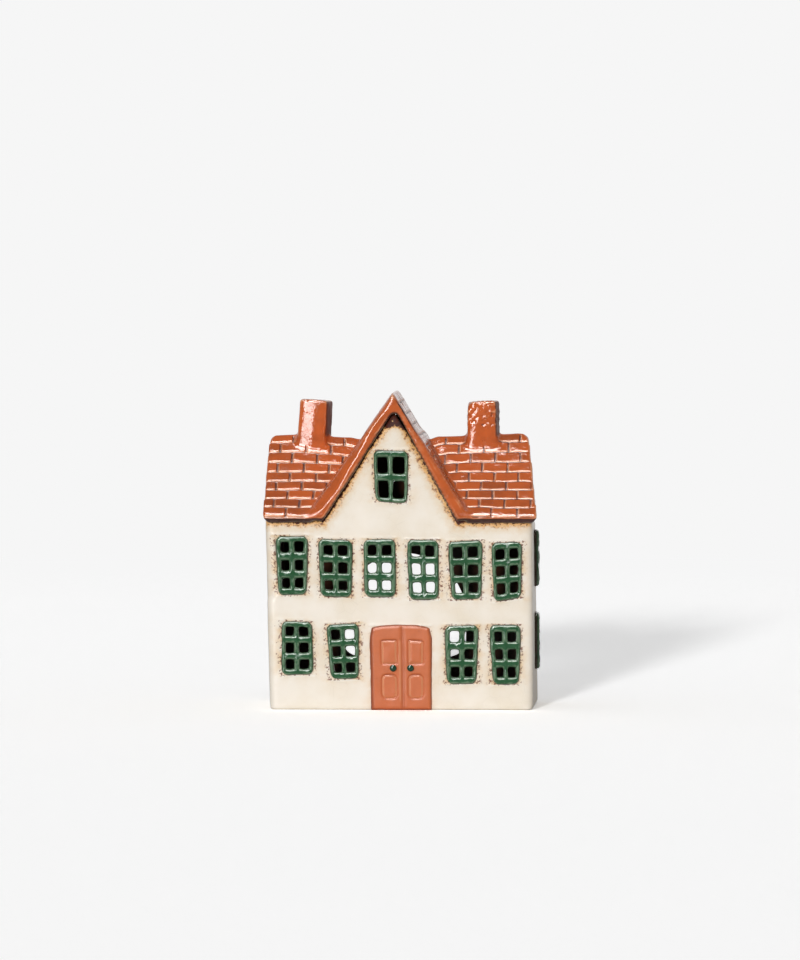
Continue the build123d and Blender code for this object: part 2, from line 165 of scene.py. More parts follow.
class TealightHouseStage(bpy.types.PropertyGroup):
    """The camera, the lamps and the floor."""

    distance: bpy.props.FloatProperty(
        name="Camera distance", description="From the front wall", default=4.1, unit="LENGTH"
    )
    turn: bpy.props.FloatProperty(
        name="Camera turn",
        description="To the right of the front",
        default=math.radians(2.5),
        subtype="ANGLE",
    )
    tilt: bpy.props.FloatProperty(
        name="Camera height", description="Angle above level", default=math.radians(1.7), subtype="ANGLE"
    )
    key: bpy.props.FloatProperty(name="Key", description="Strength of the key lamp", default=2.05, min=0)
    fill: bpy.props.FloatProperty(name="Fill", description="Strength of the even light", default=0.315, min=0)
    floor_light: bpy.props.FloatProperty(
        name="Floor light", description="How much light reaches the open floor", default=0.434, min=0.01
    )
    backdrop: colour("Backdrop", "The floor and the backdrop as the camera sees them", 246, 246, 246)


# Clay


def uneven(points, size, seed):
    """Smooth noise from -1 to 1 at each point, that changes over about size."""
    cell = np.asarray(points, float) / size
    low = np.floor(cell).astype(np.int64)
    part = cell - low
    part = part * part * (3 - 2 * part)
    total = np.zeros(len(cell))
    for corner in np.ndindex(2, 2, 2):
        mixed = (low + corner) @ np.array((374761393, 668265263, 1442695041)) + seed * 974711
        mixed = (mixed ^ (mixed >> 13)) * 1274126177
        mixed = (mixed ^ (mixed >> 16)) & 0xFFFF
        weight = np.prod(np.where(corner, part, 1 - part), axis=1)
        total += weight * (mixed / 32767.5 - 1)
    return total


def step(low, high, value):
    """0 below low and 1 above high, with a smooth rise between."""
    t = np.clip((value - low) / (high - low), 0, 1)
    return t * t * (3 - 2 * t)


def slab(ring, other):
    """A closed solid between two rings of as many corners."""
    n = len(ring)
    faces = [tuple(range(n)), tuple(range(n, 2 * n))]
    faces += [(i, (i + 1) % n, n + (i + 1) % n, n + i) for i in range(n)]
    return np.array([*ring, *other], float), faces


def block(low, high):
    """A closed box between two corners."""
    (x, y, z), (p, q, r) = low, high
    return slab(((x, y, z), (p, y, z), (p, q, z), (x, q, z)), ((x, y, r), (p, y, r), (p, q, r), (x, q, r)))


def node_solid(node):
    """A CAD node's mesh as a solid, in millimetres."""
    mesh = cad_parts[node].data
    return points_of(mesh) / MM, [tuple(p.vertices) for p in mesh.polygons]


def points_of(mesh):
    """A mesh's vertices as rows of x, y and z."""
    flat = np.empty(len(mesh.vertices) * 3)
    mesh.vertices.foreach_get("co", flat)
    return flat.reshape(-1, 3)


def normals_of(mesh):
    """The directions that a mesh's vertices face."""
    flat = np.empty(len(mesh.vertices) * 3)
    mesh.vertex_normals.foreach_get("vector", flat)
    return flat.reshape(-1, 3)


def new_object(name, points, faces):
    """An object with a mesh of these points, in the scene."""
    mesh = bpy.data.meshes.new(name)
    mesh.from_pydata(points, [], faces)
    made = bpy.data.objects.new(name, mesh)
    bpy.context.collection.objects.link(made)
    return made


def clay(name, solids, stride, rounding):
    """Solids luted into one clay body: edges sponged round first, then remeshed in even strides."""
    points, faces, start = [], [], 0
    for corners, sides in solids:
        points.append(corners)
        faces += [tuple(start + i for i in side) for side in sides]
        start += len(corners)
    body = new_object(name, np.concatenate(points), faces)
    for size, passes in ((rounding, 8), (stride, 5)):
        even = body.modifiers.new("Even faces", "REMESH")
        even.mode = "VOXEL"
        even.voxel_size = size
        soft = body.modifiers.new("Sponged", "SMOOTH")
        soft.factor = 0.5
        soft.iterations = passes
    graph = bpy.context.evaluated_depsgraph_get()
    formed = bpy.data.meshes.new_from_object(body.evaluated_get(graph))
    rough = body.data
    body.modifiers.clear()
    body.data = formed
    bpy.data.meshes.remove(rough)
    return body


def put_points(body, points):
    """Moves a body's vertices to these points."""
    body.data.vertices.foreach_set("co", np.ascontiguousarray(points, np.float32).ravel())
    body.data.update()


def mark(body, name, values):
    """Keeps a number for each vertex, for the body's glaze to read."""
    kept = body.data.attributes.new(name, "FLOAT", "POINT")
    kept.data.foreach_set("value", np.ascontiguousarray(values, np.float32))


def mark_breaks(body, passes, reach, share=1):
    """Marks where glaze thins over an edge and where it pools in a hollow, from how the surface bends."""
    points = points_of(body.data)
    edges = np.empty(len(body.data.edges) * 2, np.int32)
    body.data.edges.foreach_get("vertices", edges)
    a, b = edges.reshape(-1, 2).T
    count = np.bincount(edges, minlength=len(points))[:, None]
    even = points
    for _ in range(passes):
        beside = np.zeros(points.shape)
        for start, end in ((a, b), (b, a)):
            for i in range(3):
                beside[:, i] += np.bincount(start, even[end, i], len(points))
        even = beside / np.maximum(count, 1)
    bend = ((points - even) * normals_of(body.data)).sum(1) / reach
    mark(body, "thin", np.clip(bend, 0, 1) * share)
    mark(body, "pool", np.clip(-bend, 0, 1) * share)


def fire(body, glaze, nodes):
    """Finishes a clay body: metres, smooth shading, its glaze, and the CAD nodes that it stands for."""
    put_points(body, points_of(body.data) * MM)
    dress(body, glaze, "house", nodes)


def dress(piece, finish, body, nodes):
    """Gives a piece its material and seats it in the frame in place of its CAD nodes."""
    piece.data.polygons.foreach_set("use_smooth", np.ones(len(piece.data.polygons), bool))
    piece.data.materials.clear()
    piece.data.materials.append(finish)
    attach(piece, body)
    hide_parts(*nodes)


def within_frame(points):
    """Keeps points inside the box that the CAD frame fills."""
    return np.clip(points, np.array(cad_box[0]) / MM, np.array(cad_box[1]) / MM)


def box_of(node):
    """A CAD node's lowest and highest corners, in millimetres."""
    low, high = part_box(node)
    return np.array(low) / MM, np.array(high) / MM


# Glazes


class Recipe:
    """A material under way: adds nodes and joins them."""

    def __init__(self, name):
        self.material = bpy.data.materials.new(name)
        self.material.use_nodes = True
        self.tree = self.material.node_tree
        self.shader = self.tree.nodes["Principled BSDF"]
        self.place = self.tree.nodes.new("ShaderNodeTexCoord").outputs["Object"]

    def put(self, socket, value):
        """Links a node's output to a socket, or sets the socket."""
        if isinstance(value, bpy.types.NodeSocket):
            self.tree.links.new(value, socket)
        elif socket.type == "RGBA":
            socket.default_value = (*value, 1)
        else:
            socket.default_value = value

    def noise(self, size, detail=3.0, roughness=0.55, stretch=None):
        """Noise from 0 to 1 that changes over about size, in millimetres."""
        node = self.tree.nodes.new("ShaderNodeTexNoise")
        self.put(node.inputs["Vector"], self.stretched(stretch))
        self.put(node.inputs["Scale"], 1 / (size * MM))
        self.put(node.inputs["Detail"], detail)
        self.put(node.inputs["Roughness"], roughness)
        return node.outputs["Fac"]

    def sway(self, reach, size, detail=3.0, roughness=0.55):
        """Noise about zero, over that reach."""
        return self.sum("MULTIPLY", self.sum("SUBTRACT", self.noise(size, detail, roughness), 0.5), reach)

    def cells(self, size, feature="F1"):
        """Cells about size across, in millimetres."""
        node = self.tree.nodes.new("ShaderNodeTexVoronoi")
        node.feature = feature
        self.put(node.inputs["Vector"], self.place)
        self.put(node.inputs["Scale"], 1 / (size * MM))
        return node.outputs["Distance"]

    def stretched(self, stretch):
        """Object coordinates, squeezed along each axis where asked."""
        if stretch is None:
            return self.place
        node = self.tree.nodes.new("ShaderNodeMapping")
        self.put(node.inputs["Vector"], self.place)
        self.put(node.inputs["Scale"], stretch)
        return node.outputs["Vector"]

    def marked(self, name):
        """A number that a mesh keeps for each vertex."""
        node = self.tree.nodes.new("ShaderNodeAttribute")
        node.attribute_name = name
        return node.outputs["Fac"]

    def sum(self, operation, first, second):
        """One step of arithmetic."""
        node = self.tree.nodes.new("ShaderNodeMath")
        node.operation = operation
        self.put(node.inputs[0], first)
        self.put(node.inputs[1], second)
        return node.outputs[0]

    def ramp(self, value, low, high, start=0.0, end=1.0):
        """Takes value from low to high to start to end, smoothly."""
        node = self.tree.nodes.new("ShaderNodeMapRange")
        node.interpolation_type = "SMOOTHSTEP"
        for socket, number in zip(node.inputs, (value, low, high, start, end)):
            self.put(socket, number)
        return node.outputs[0]

    def mix(self, share, first, second):
        """A blend of two colours."""
        node = self.tree.nodes.new("ShaderNodeMix")
        node.data_type = "RGBA"
        self.put(node.inputs["Factor"], share)
        self.put(node.inputs[6], first)
        self.put(node.inputs[7], second)
        return node.outputs[2]

    def bump(self, height, depth, under=None):
        """Fine relief that many millimetres deep."""
        node = self.tree.nodes.new("ShaderNodeBump")
        self.put(node.inputs["Height"], height)
        self.put(node.inputs["Distance"], depth * MM)
        if under is not None:
            self.put(node.inputs["Normal"], under)
        return node.outputs["Normal"]

    def finish(self, base, roughness, normal, **constants):
        """Joins the colour, roughness and relief to the shader."""
        self.put(self.shader.inputs["Base Color"], base)
        self.put(self.shader.inputs["Roughness"], roughness)
        self.put(self.shader.inputs["Normal"], normal)
        for name, value in constants.items():
            self.put(self.shader.inputs[name.replace("_", " ").title().replace("Ior", "IOR")], value)
        return self.material


def cream_glaze(c):
    """Cream glaze: crackled, speckled beside the pads, ochre where it thins, bare clay inside, paler against
    the pads partly as a painted highlight, with painted shade under the gable's apex.
    """
    r = Recipe("cream glaze")
    cloud = r.noise(22, 3)
    grain = r.noise(1.6, 4, 0.65)
    base = r.mix(r.ramp(cloud, 0.3, 0.75), c.cream, [x * y for x, y in zip(c.cream, (0.93, 0.9, 0.84))])
    crackle = r.ramp(r.cells(7, "DISTANCE_TO_EDGE"), 0.0, 0.02, 0.06, 0.0)
    base = r.mix(r.sum("MULTIPLY", crackle, r.ramp(cloud, 0.42, 0.6)), base, c.clay)
    halo = r.marked("halo")
    eave = r.marked("eave")
    ragged = r.sum("ADD", eave, r.sway(6.0, 2.4, 4, 0.6))
    fringe = r.ramp(ragged, 1.2, 4.0, 1.0, 0.0)
    stain = r.sum("MULTIPLY", halo, r.ramp(r.noise(7, 3), 0.34, 0.66))
    stain = r.sum("ADD", stain, r.ramp(ragged, 2.5, 8.0, 0.5, 0.0))
    base = r.mix(r.sum("MULTIPLY", stain, 0.7), base, c.ochre)
    base = r.mix(r.sum("MULTIPLY", fringe, 0.8), base, c.amber)
    close = r.ramp(r.sum("ADD", halo, r.sway(0.7, 9, 2)), 0.5, 0.74)
    specks = r.sum("MULTIPLY", r.ramp(r.noise(1.3, 2, 0.6), 0.53, 0.6), r.sum("MAXIMUM", close, fringe))
    dots = r.sum("MULTIPLY", r.ramp(r.cells(1.9), 0.2, 0.36, 1.0, 0.0), r.ramp(r.noise(3.5, 2), 0.56, 0.64))
    dots = r.sum("MULTIPLY", dots, r.ramp(halo, 0.25, 0.55, 0.02, 1.0))
    # Paler glaze against the pads: partly thick glaze, partly a painted highlight.
    base = r.mix(r.ramp(r.marked("fillet_highlight"), 0.3, 0.9, 0.0, 0.6), base, (0.94, 0.92, 0.86))
    base = r.mix(r.sum("MULTIPLY", r.sum("MAXIMUM", specks, dots), 0.85), base, c.speckle)
    # The seam colour here also fills the triangle under the gable's apex as painted shade.
    seamed = r.ramp(ragged, 0.3, 1.0, 1.0, 0.0)
    base = r.mix(seamed, base, r.mix(r.ramp(r.noise(3, 3), 0.4, 0.65), c.seam, c.roof_pool))
    inside = r.marked("inside")
    base = r.mix(inside, base, r.mix(r.noise(5, 4), c.clay, [x * 0.55 for x in c.clay]))
    normal = r.bump(grain, 0.03, r.bump(r.noise(7, 2, stretch=(1, 1, 0.4)), 0.12))
    rough = r.ramp(r.sum("MAXIMUM", inside, seamed), 0, 1, 0.36, 0.8)
    return r.finish(base, rough, normal, specular_ior_level=0.32)


def roof_glaze(c, course, brick):
    """Glossy iron-red glaze: peach where it breaks over an edge, with painted highlights on the bricks' feet
    and left edges, dark in the joints partly as painted shade, with painted shade on the chimneys' right
    faces, and pitted in places.
    """
    r = Recipe("roof glaze")
    cloud = r.noise(9, 4)
    tone = r.sum("ADD", r.sum("MULTIPLY", r.marked("tone"), 0.35), cloud)
    base = r.mix(r.ramp(tone, 0.25, 0.9), [x * 1.12 for x in c.roof], [x * 0.72 for x in c.roof])
    broken = r.sum("ADD", r.marked("thin"), r.sway(0.5, 2.5, 3))
    base = r.mix(r.ramp(broken, 0.25, 0.95, 0.0, 0.75), base, c.roof_thin)
    base = r.mix(r.ramp(r.marked("pool"), 0.15, 0.9, 0.0, 0.8), base, c.roof_pool)
    top = r.sum("MULTIPLY", r.sum("FRACT", r.marked("down"), 0.0), course)
    left = r.sum("MULTIPLY", r.sum("FRACT", r.marked("along"), 0.0), brick)
    # Peach along each brick's foot and left edge: partly glaze breaking over the edge, partly a painted
    # highlight where these edges face the lamps.
    lip = r.sum("MAXIMUM", r.ramp(top, course - 1.3, course - 0.8), r.ramp(left, 0.7, 1.3, 0.9, 0.0))
    # Dark in the joints: partly glaze pooled there, partly painted shade along the top of each brick and at
    # its ends.
    bed = r.sum("MAXIMUM", r.ramp(top, 0.4, 0.75, 0.9, 0.0), r.ramp(top, course - 0.35, course - 0.1))
    head = r.sum("MAXIMUM", r.ramp(left, 0.3, 0.65, 1.0, 0.0), r.ramp(left, brick - 0.85, brick - 0.5))
    lip = r.sum("MULTIPLY", lip, r.ramp(r.noise(5, 2), 0.35, 0.6, 0.35, 0.85))
    base = r.mix(r.sum("MULTIPLY", r.marked("bricks"), lip), base, c.roof_thin)
    pooled_and_shaded = r.sum("MULTIPLY", r.sum("MAXIMUM", bed, head), r.ramp(r.noise(4, 2), 0.3, 0.6, 0.6, 0.95))
    # The chimneys' painted shade is added to the darkened joints.
    pooled_and_shaded = r.sum("MAXIMUM", r.sum("MULTIPLY", r.marked("bricks"), pooled_and_shaded), r.marked("shade"))
    base = r.mix(pooled_and_shaded, base, c.roof_pool)
    pits = r.ramp(r.cells(1.3), 0.1, 0.22, 1.0, 0.0)
    pits = r.sum("MULTIPLY", pits, r.ramp(r.noise(12, 2), 0.6, 0.68))
    base = r.mix(r.sum("MULTIPLY", pits, 0.6), base, c.roof_pool)
    base = r.mix(r.marked("under"), base, c.clay)
    base = r.mix(r.sum("MAXIMUM", r.marked("seam"), r.marked("broken")), base, c.seam)
    normal = r.bump(r.noise(3.2, 3), 0.22, r.bump(r.sum("MULTIPLY", pits, -1.0), 0.12))
    dull = r.sum("MULTIPLY", r.sum("MAXIMUM", pooled_and_shaded, lip), 0.26)
    dull = r.sum("MAXIMUM", dull, r.sum("MULTIPLY", r.marked("shade"), 0.5))
    rough = r.sum("ADD", r.ramp(cloud, 0.3, 0.7, 0.08, 0.16), dull)
    return r.finish(base, rough, normal)


def green_glaze(c):
    """Glossy green glaze that breaks pale over the edges of the panes."""
    r = Recipe("green glaze")
    base = r.mix(r.noise(4, 3), [x * 0.7 for x in c.green], [x * 1.25 for x in c.green])
    broken = r.sum("ADD", r.marked("thin"), r.sway(0.7, 1.8, 3))
    base = r.mix(r.ramp(broken, 0.45, 1.0, 0.0, 0.35), base, c.green_thin)
    lip = r.sum("MULTIPLY", r.marked("lip"), r.ramp(r.noise(2.6, 2), 0.35, 0.65, 0.25, 0.85))
    base = r.mix(lip, base, c.green_thin)
    base = r.mix(r.ramp(r.marked("pool"), 0.2, 0.9, 0.0, 0.7), base, [x * 0.35 for x in c.green])
    # Painted shade, partly bare clay: the outer sides of each pad next to the wall.
    base = r.mix(r.sum("MULTIPLY", r.marked("rim"), 0.85), base, c.seam)
    return r.finish(base, 0.14, r.bump(r.noise(2.2, 3), 0.14))


def door_slip(c):
    """Satin terracotta slip, darker in its grooves partly as painted shade, with painted highlights on the
    edges of its panels and its meeting edge.
    """
    r = Recipe("door slip")
    base = r.mix(r.noise(5, 4), [x * 0.9 for x in c.door], [x * 1.1 for x in c.door])
    # Painted highlight: pale lines on the panel edges and the meeting edge, in the thin roof glaze colour.
    base = r.mix(r.sum("MULTIPLY", r.marked("lip"), 0.75), base, c.roof_thin)
    # Painted shade in the grooves, the leaf gap and down the left edge, on top of slip pooled there.
    base = r.mix(r.sum("MULTIPLY", r.marked("groove_and_shade"), 0.7), base, c.door_pool)
    dust = r.ramp(r.cells(1.1), 0.12, 0.24, 1.0, 0.0)
    base = r.mix(r.sum("MULTIPLY", dust, r.ramp(r.noise(3, 2), 0.58, 0.66, 0.0, 0.5)), base, c.door_pool)
    return r.finish(base, 0.36, r.bump(r.noise(0.9, 4), 0.06), specular_ior_level=0.3)


def knob_glaze(c):
    """Thick dark green glaze on the knobs."""
    r = Recipe("knob glaze")
    base = r.mix(r.noise(1.2, 3), c.knob, [x * 2.2 for x in c.knob])
    return r.finish(base, 0.12, r.bump(r.noise(1.5, 2), 0.05))


# Walls


def build_walls(sizes, colours):
    """The four walls and the floor as one glazed body, leaning a little."""
    walls = clay("walls", [node_solid(n) for n in WALL_NODES], sizes.wall_step / MM, 0.9)
    points = points_of(walls.data)
    x, y, z = points.T
    half = box_of("front_wall")[1][0]
    depth = box_of("back_wall")[1][1]
    inside = step(1.5, 3.5, np.minimum(np.minimum(half - abs(x), depth - abs(y)), z + 0.5))
    halo, rim = pad_halo(points)
    mark(walls, "inside", inside)
    mark(walls, "halo", halo)
    mark(walls, "fillet_highlight", rim)
    mark(walls, "eave", under_roof(x, y, z))
    foot = step(0, 6, z)
    wander = uneven(points * (1, 1, 0.45), 15, 3) * 0.85 + uneven(points, 6, 4) * 0.15
    out = wander * foot * sizes.unevenness / MM + rim * (1 - inside) * 0.35
    moved = follow_pads(points) + normals_of(walls.data) * out[:, None]
    moved[:, 0] += lean_at(z) * step(58, 70, -x) + taper_at(x, y, z)
    moved[:, 0] -= under_verge(x, z)
    moved[:, 2] = np.maximum(moved[:, 2], 0) + RoofForm().ridge_lift(points)
    put_points(walls, moved)
    fire(walls, cream_glaze(colours), WALL_NODES)


def under_verge(x, z):
    """How far the top of the right wall draws in, to stay under the roof's verge."""
    return step(60, 67, x) * np.interp(z, (100, 140), (0, 4))


def lean_at(z):
    """How far the left end stands to the right of upright at a height: it leans out as it rises."""
    lean = bpy.context.scene.tealight_sizes.lean / MM
    outset = 0.6
    return np.interp(z, (0, 98, 140), (0.45, -0.55, -0.3)) * lean - outset


def taper_at(x, y, z):
    """How far the right end of the house turns towards the back: out at the foot, in under the roof."""
    taper = bpy.context.scene.tealight_sizes.taper / MM
    back = (y + 46) / 92  # 0 at the front and 1 at the back
    return -step(55, 68, x) * back * np.interp(z, (0, 98, 104), (-1, 1, 3.7)) * taper


def follow_pads(points):
    """Draws the openings in the front wall along with the pads that are set over them."""
    moved = points.copy()
    front = points[:, 1] < box_of("front_wall")[1][1] + 1
    for node in PAD_CORNERS:
        low, high = box_of(node)
        away = np.maximum(np.maximum(low - points, points - high), 0)[:, ::2]
        share = np.exp(-(away**2).sum(1) / 6) * front
        across = np.clip((points[:, 0] - low[0]) / (high[0] - low[0]), 0, 1)
        up = np.clip((points[:, 2] - low[2]) / (high[2] - low[2]), 0, 1)
        shift = on_pad(node, across, up) - np.stack(
            [low[0] + across * (high[0] - low[0]), low[2] + up * (high[2] - low[2])], 1
        )
        moved[:, ::2] += shift * share[:, None]
    return moved


def on_pad(node, across, up):
    """The place (x, z) at these shares of the way across and up a front window pad."""
    top_left, top_right, bottom_right, bottom_left = np.array(PAD_CORNERS[node])
    top = np.outer(1 - across, top_left) + np.outer(across, top_right)
    bottom = np.outer(1 - across, bottom_left) + np.outer(across, bottom_right)
    return bottom * (1 - up)[:, None] + top * up[:, None]


def pad_halo(points):
    """How near each point is to a window pad or the door, from 0 to 1, and the thick glaze against it, which
    is also lightened as a painted highlight.
    """
    halo, rim = np.zeros(len(points)), np.zeros(len(points))
    for node in (*window_nodes(), "door"):
        low, high = box_of(node)
        away = np.maximum(np.maximum(low - points, points - high), 0)
        far = np.sqrt((away**2).sum(1))
        beside = (1 - 0.7 * step(0, 1.5, away[:, 2])) * (0.5 if node == "door" else 1)
        halo = np.maximum(halo, np.exp(-far / 2.4) * beside)
        rim = np.maximum(rim, np.exp(-((far / 1.1) ** 2)) * step(0, 0.4, away[:, 2]))
    return halo, rim


def under_roof(x, y, z):
    """How far each place on the walls is below the roof's underside."""
    form = RoofForm()
    slant = np.where(abs(x) > 70, math.cos(form.main), 1)
    below_main = (form.under_ridge - abs(y) * math.tan(form.main) - z) * slant
    within = [side * (form.rake(side, z, "inner") - x) * math.sin(form.inner[side]) for side in (-1, 1)]
    below = np.maximum(below_main, np.minimum(*within))
    # Painted shade: just under the gable's apex the walls count as lying 7 mm closer under the roof, so the
    # dark seam colour fills the triangle there.
    tip = step(151.5, 155, z) * (abs(x) < form.gable_half)
    return np.maximum(below - 7 * tip, 0)


# Roof


class RoofForm:
    """The roof's planes, with the gable's two slopes as the photograph shows them."""

    ridge, eave, front = 145.9, 104.95, 47.1  # heights, and how far the eaves reach from the middle
    main = math.radians(41)
    under_ridge, under_eave, under_front = 138.4, 100.75, 43.4  # the same on the underside
    peak, apex = (-4.1, 172.3), {-1: (-4.6, 160.3), 1: (-1.6, 160.3)}
    outer = {-1: math.radians(55.6), 1: math.radians(58.2)}
    inner = {-1: math.radians(57.2), 1: math.radians(61)}
    left_verge, right_verge = (-75.2, -74.4), (74.6, 70.5)  # at the eaves and at the ridge
    crest_heights = (161.7, 148.2, 128.6, 117.2, 109.5, 105.8, 104.0)
    crest = {  # how far the front edge of each rake is in from its outer line, at those heights
        -1: (1.6, 1.4, 5.0, 7.1, 5.7, 2.0, -2.1),
        1: (0.6, 0.7, 0.9, 0.9, 0.6, -0.4, -2.0),
    }
    ridge_places = (-74, -58, -34, -20, 16, 30, 50, 72)
    ridge_rises = (2.7, 2.7, 1.2, 1.0, 1.6, 2.0, 3.2, 3.5)  # how far the ridge is drawn up at those places
    seam = 103.1  # height of the ragged lower edge of the roof's glaze
    gable_half, gable_draw = 30, 1.3  # half the width that holds the gable's top, and its draw to the left
    chimney_foot = 126
    chimneys = (  # corners at the foot (x, y) and at the top (x, y, z), round from the front left
        (
            ((-58.4, -7.0), (-50.8, -8.7), (-43.2, -8.8), (-40.6, 8.6), (-58.4, 8.6)),
            (
                (-56.6, -6.6, 167.7),
                (-48.4, -8.4, 167.5),
                (-41.2, -8.4, 166.7),
                (-38.8, 8.2, 166.5),
                (-56.6, 8.2, 167.5),
            ),
        ),
        (
            ((34.4, -7.9), (38.2, -8.7), (51.6, -8.8), (52.9, 8.6), (34.4, 8.6)),
            (
                (34.8, -7.5, 165.4),
                (38.2, -8.4, 166.6),
                (50.4, -8.4, 167.1),
                (51.9, 8.2, 166.9),
                (34.8, 8.2, 165.9),
            ),
        ),
    )

    def rake(self, side, z, line):
        """Where the gable's outer or inner line is at a height."""
        (x, top), pitch = (self.peak, self.outer) if line == "outer" else (self.apex[side], self.inner)
        return x + side * (top - z) / math.tan(pitch[side])

    def middle(self, side, z):
        """Halfway through the gable's slab, where the main roof's slabs end in it."""
        return (self.rake(side, z, "outer") + self.rake(side, z, "inner")) / 2

    def verge(self, side, z):
        """The main roof's end at a height."""
        low, high = self.left_verge if side < 0 else self.right_verge
        return low + (high - low) * (z - self.eave) / (self.ridge - self.eave)

    def solids(self):
        """The roof's slabs and chimneys, before they are luted together."""
        ridge = [(y, self.ridge - y * math.tan(self.main), pull) for y, pull in ((7, 0), (3, 1.2))]
        half = [(self.front, self.eave - 0.7, 0.4), (self.front - 1.8, self.eave + 1.6, 0), *ridge]
        under = [(self.under_front, self.under_eave, 3), (0, self.under_ridge, 1.5)]
        under.append((-self.under_front, self.under_eave, 3))
        bent = [(-y, z, pull) for y, z, pull in half] + [(0, self.ridge, 4.2)] + half[::-1] + under
        made = []
        for side in (-1, 1):
            ends = [(self.verge(side, z) - side * pull, y, z) for y, z, pull in bent]
            made.append(slab(ends, [(self.middle(side, z), y, z) for y, z, _ in bent]))
            made += self.gable_slab(side)
        return made + [slab([(x, y, self.chimney_foot) for x, y in foot], top) for foot, top in self.chimneys]

    def gable_slab(self, side):
        """One slope of the cross gable, with a crest along each rake that curves out into the eaves."""
        inset = self.front - 4
        foot = [(y, self.ridge - abs(y) * math.tan(self.main) - 2.6) for y in (-inset, 0, inset)]
        over = [(-inset, self.peak[1]), *foot, (inset, self.peak[1])]
        below = [(-inset, self.apex[side][1]), *foot, (inset, self.apex[side][1])]
        made = [
            slab(
                [(self.rake(side, z, "outer"), y, z) for y, z in over],
                [(self.rake(side, z, "inner"), y, z) for y, z in below],
            )
        ]
        low = self.eave - 2.8
        heel = self.rake(side, low, "inner")
        inward = zip(self.crest_heights, self.crest[side])
        line = [(self.rake(side, z, "outer"), z, away) for z, away in inward]
        inner = [(heel, low), self.apex[side], self.apex[-1]][: 2 if side < 0 else 3]
        for facing in (-1, 1):
            face, back = facing * self.front, facing * inset
            rear = [(self.peak[0], back, self.peak[1])]
            rear += [(x + side * max(-away, 0), back, z) for x, z, away in line]
            rear += [(x, back, z) for x, z in inner]
            fore = [(self.peak[0], face, self.peak[1] - 1.4)]
            fore += [(x - side * away, face, z) for x, z, away in line]
            fore += [(x, face, z) for x, z in inner]
            made.append(slab(rear, fore))
        return made

    def ridge_lift(self, points):
        """How far the main ridge is drawn up at each point: least at the gable, most at the ends."""
        over = self.beyond(points)
        rise = np.interp(points[:, 0], self.ridge_places, self.ridge_rises)
        rise *= step(122, 146, points[:, 2]) * (1 - step(148, 160, points[:, 2]))
        return rise * step(0, 6, np.maximum(over[3], over[4]))

    def beyond(self, points):
        """How far each point is above each slope, by the seed of its bricks."""
        return {slope[-1]: (points - slope[0]) @ np.array(slope[1]) for slope in self.slopes()}

    def clear_of_valley(self, points, seed):
        """0 in the smooth band along a valley, a rake or the right verge, rising to 1 among the bricks."""
        over = self.beyond(points)
        if seed < 3:
            verge = self.verge(1, points[:, 2]) - points[:, 0]
            return step(0.3, 1.6, np.maximum(over[3], over[4])) * step(1.4, 3.2, verge)
        return step(0.5, 2.5, np.maximum(over[1], over[2])) * (1 - step(40, 43, abs(points[:, 1])))

    def slopes(self):
        """Each slope as (a point on it, its normal, the ways along and down it, the seed of its bricks)."""
        for facing, seed in ((-1, 1), (1, 2)):
            up = (0, facing * math.sin(self.main), math.cos(self.main))
            down = (0, facing * math.cos(self.main), -math.sin(self.main))
            yield (0, 0, self.ridge), up, (1, 0, 0), down, seed
        for side, seed in ((-1, 3), (1, 4)):
            pitch = self.outer[side]
            up = (side * math.sin(pitch), 0, math.cos(pitch))
            down = (side * math.cos(pitch), 0, -math.sin(pitch))
            yield (self.peak[0], 0, self.peak[1]), up, (0, 1, 0), down, seed


def press_bricks(points, normals, form, sizes):
    """Presses brick courses into each slope. Returns the moved points and the marks for the glaze."""
    moved = points.copy()
    marks = {name: np.full(len(points), 0.5) for name in ("down", "along")}
    marks |= {name: np.zeros(len(points)) for name in ("tone", "bricks")}
    for origin, up, along, down, seed in form.slopes():
        away = (points - origin) @ np.array(up)
        on = np.flatnonzero((abs(away) < 1.6) & (normals @ np.array(up) > 0.6))
        here = points[on]
        u, v = (here - origin) @ np.array(along), (here - origin) @ np.array(down)
        fade = (1 - step(0.35, 1.5, abs(away[on]))) * form.clear_of_valley(here, seed) * step(1.2, 3.0, v)
        drop, courses, bricks, tone = brick_relief(u, v, seed, sizes)
        moved[on] -= np.outer(drop * fade * sizes.joint_depth / MM, up)
        found = {"down": courses, "along": bricks, "tone": tone * fade, "bricks": fade}
        for name, values in found.items():
            marks[name][on] = values
    return moved, marks


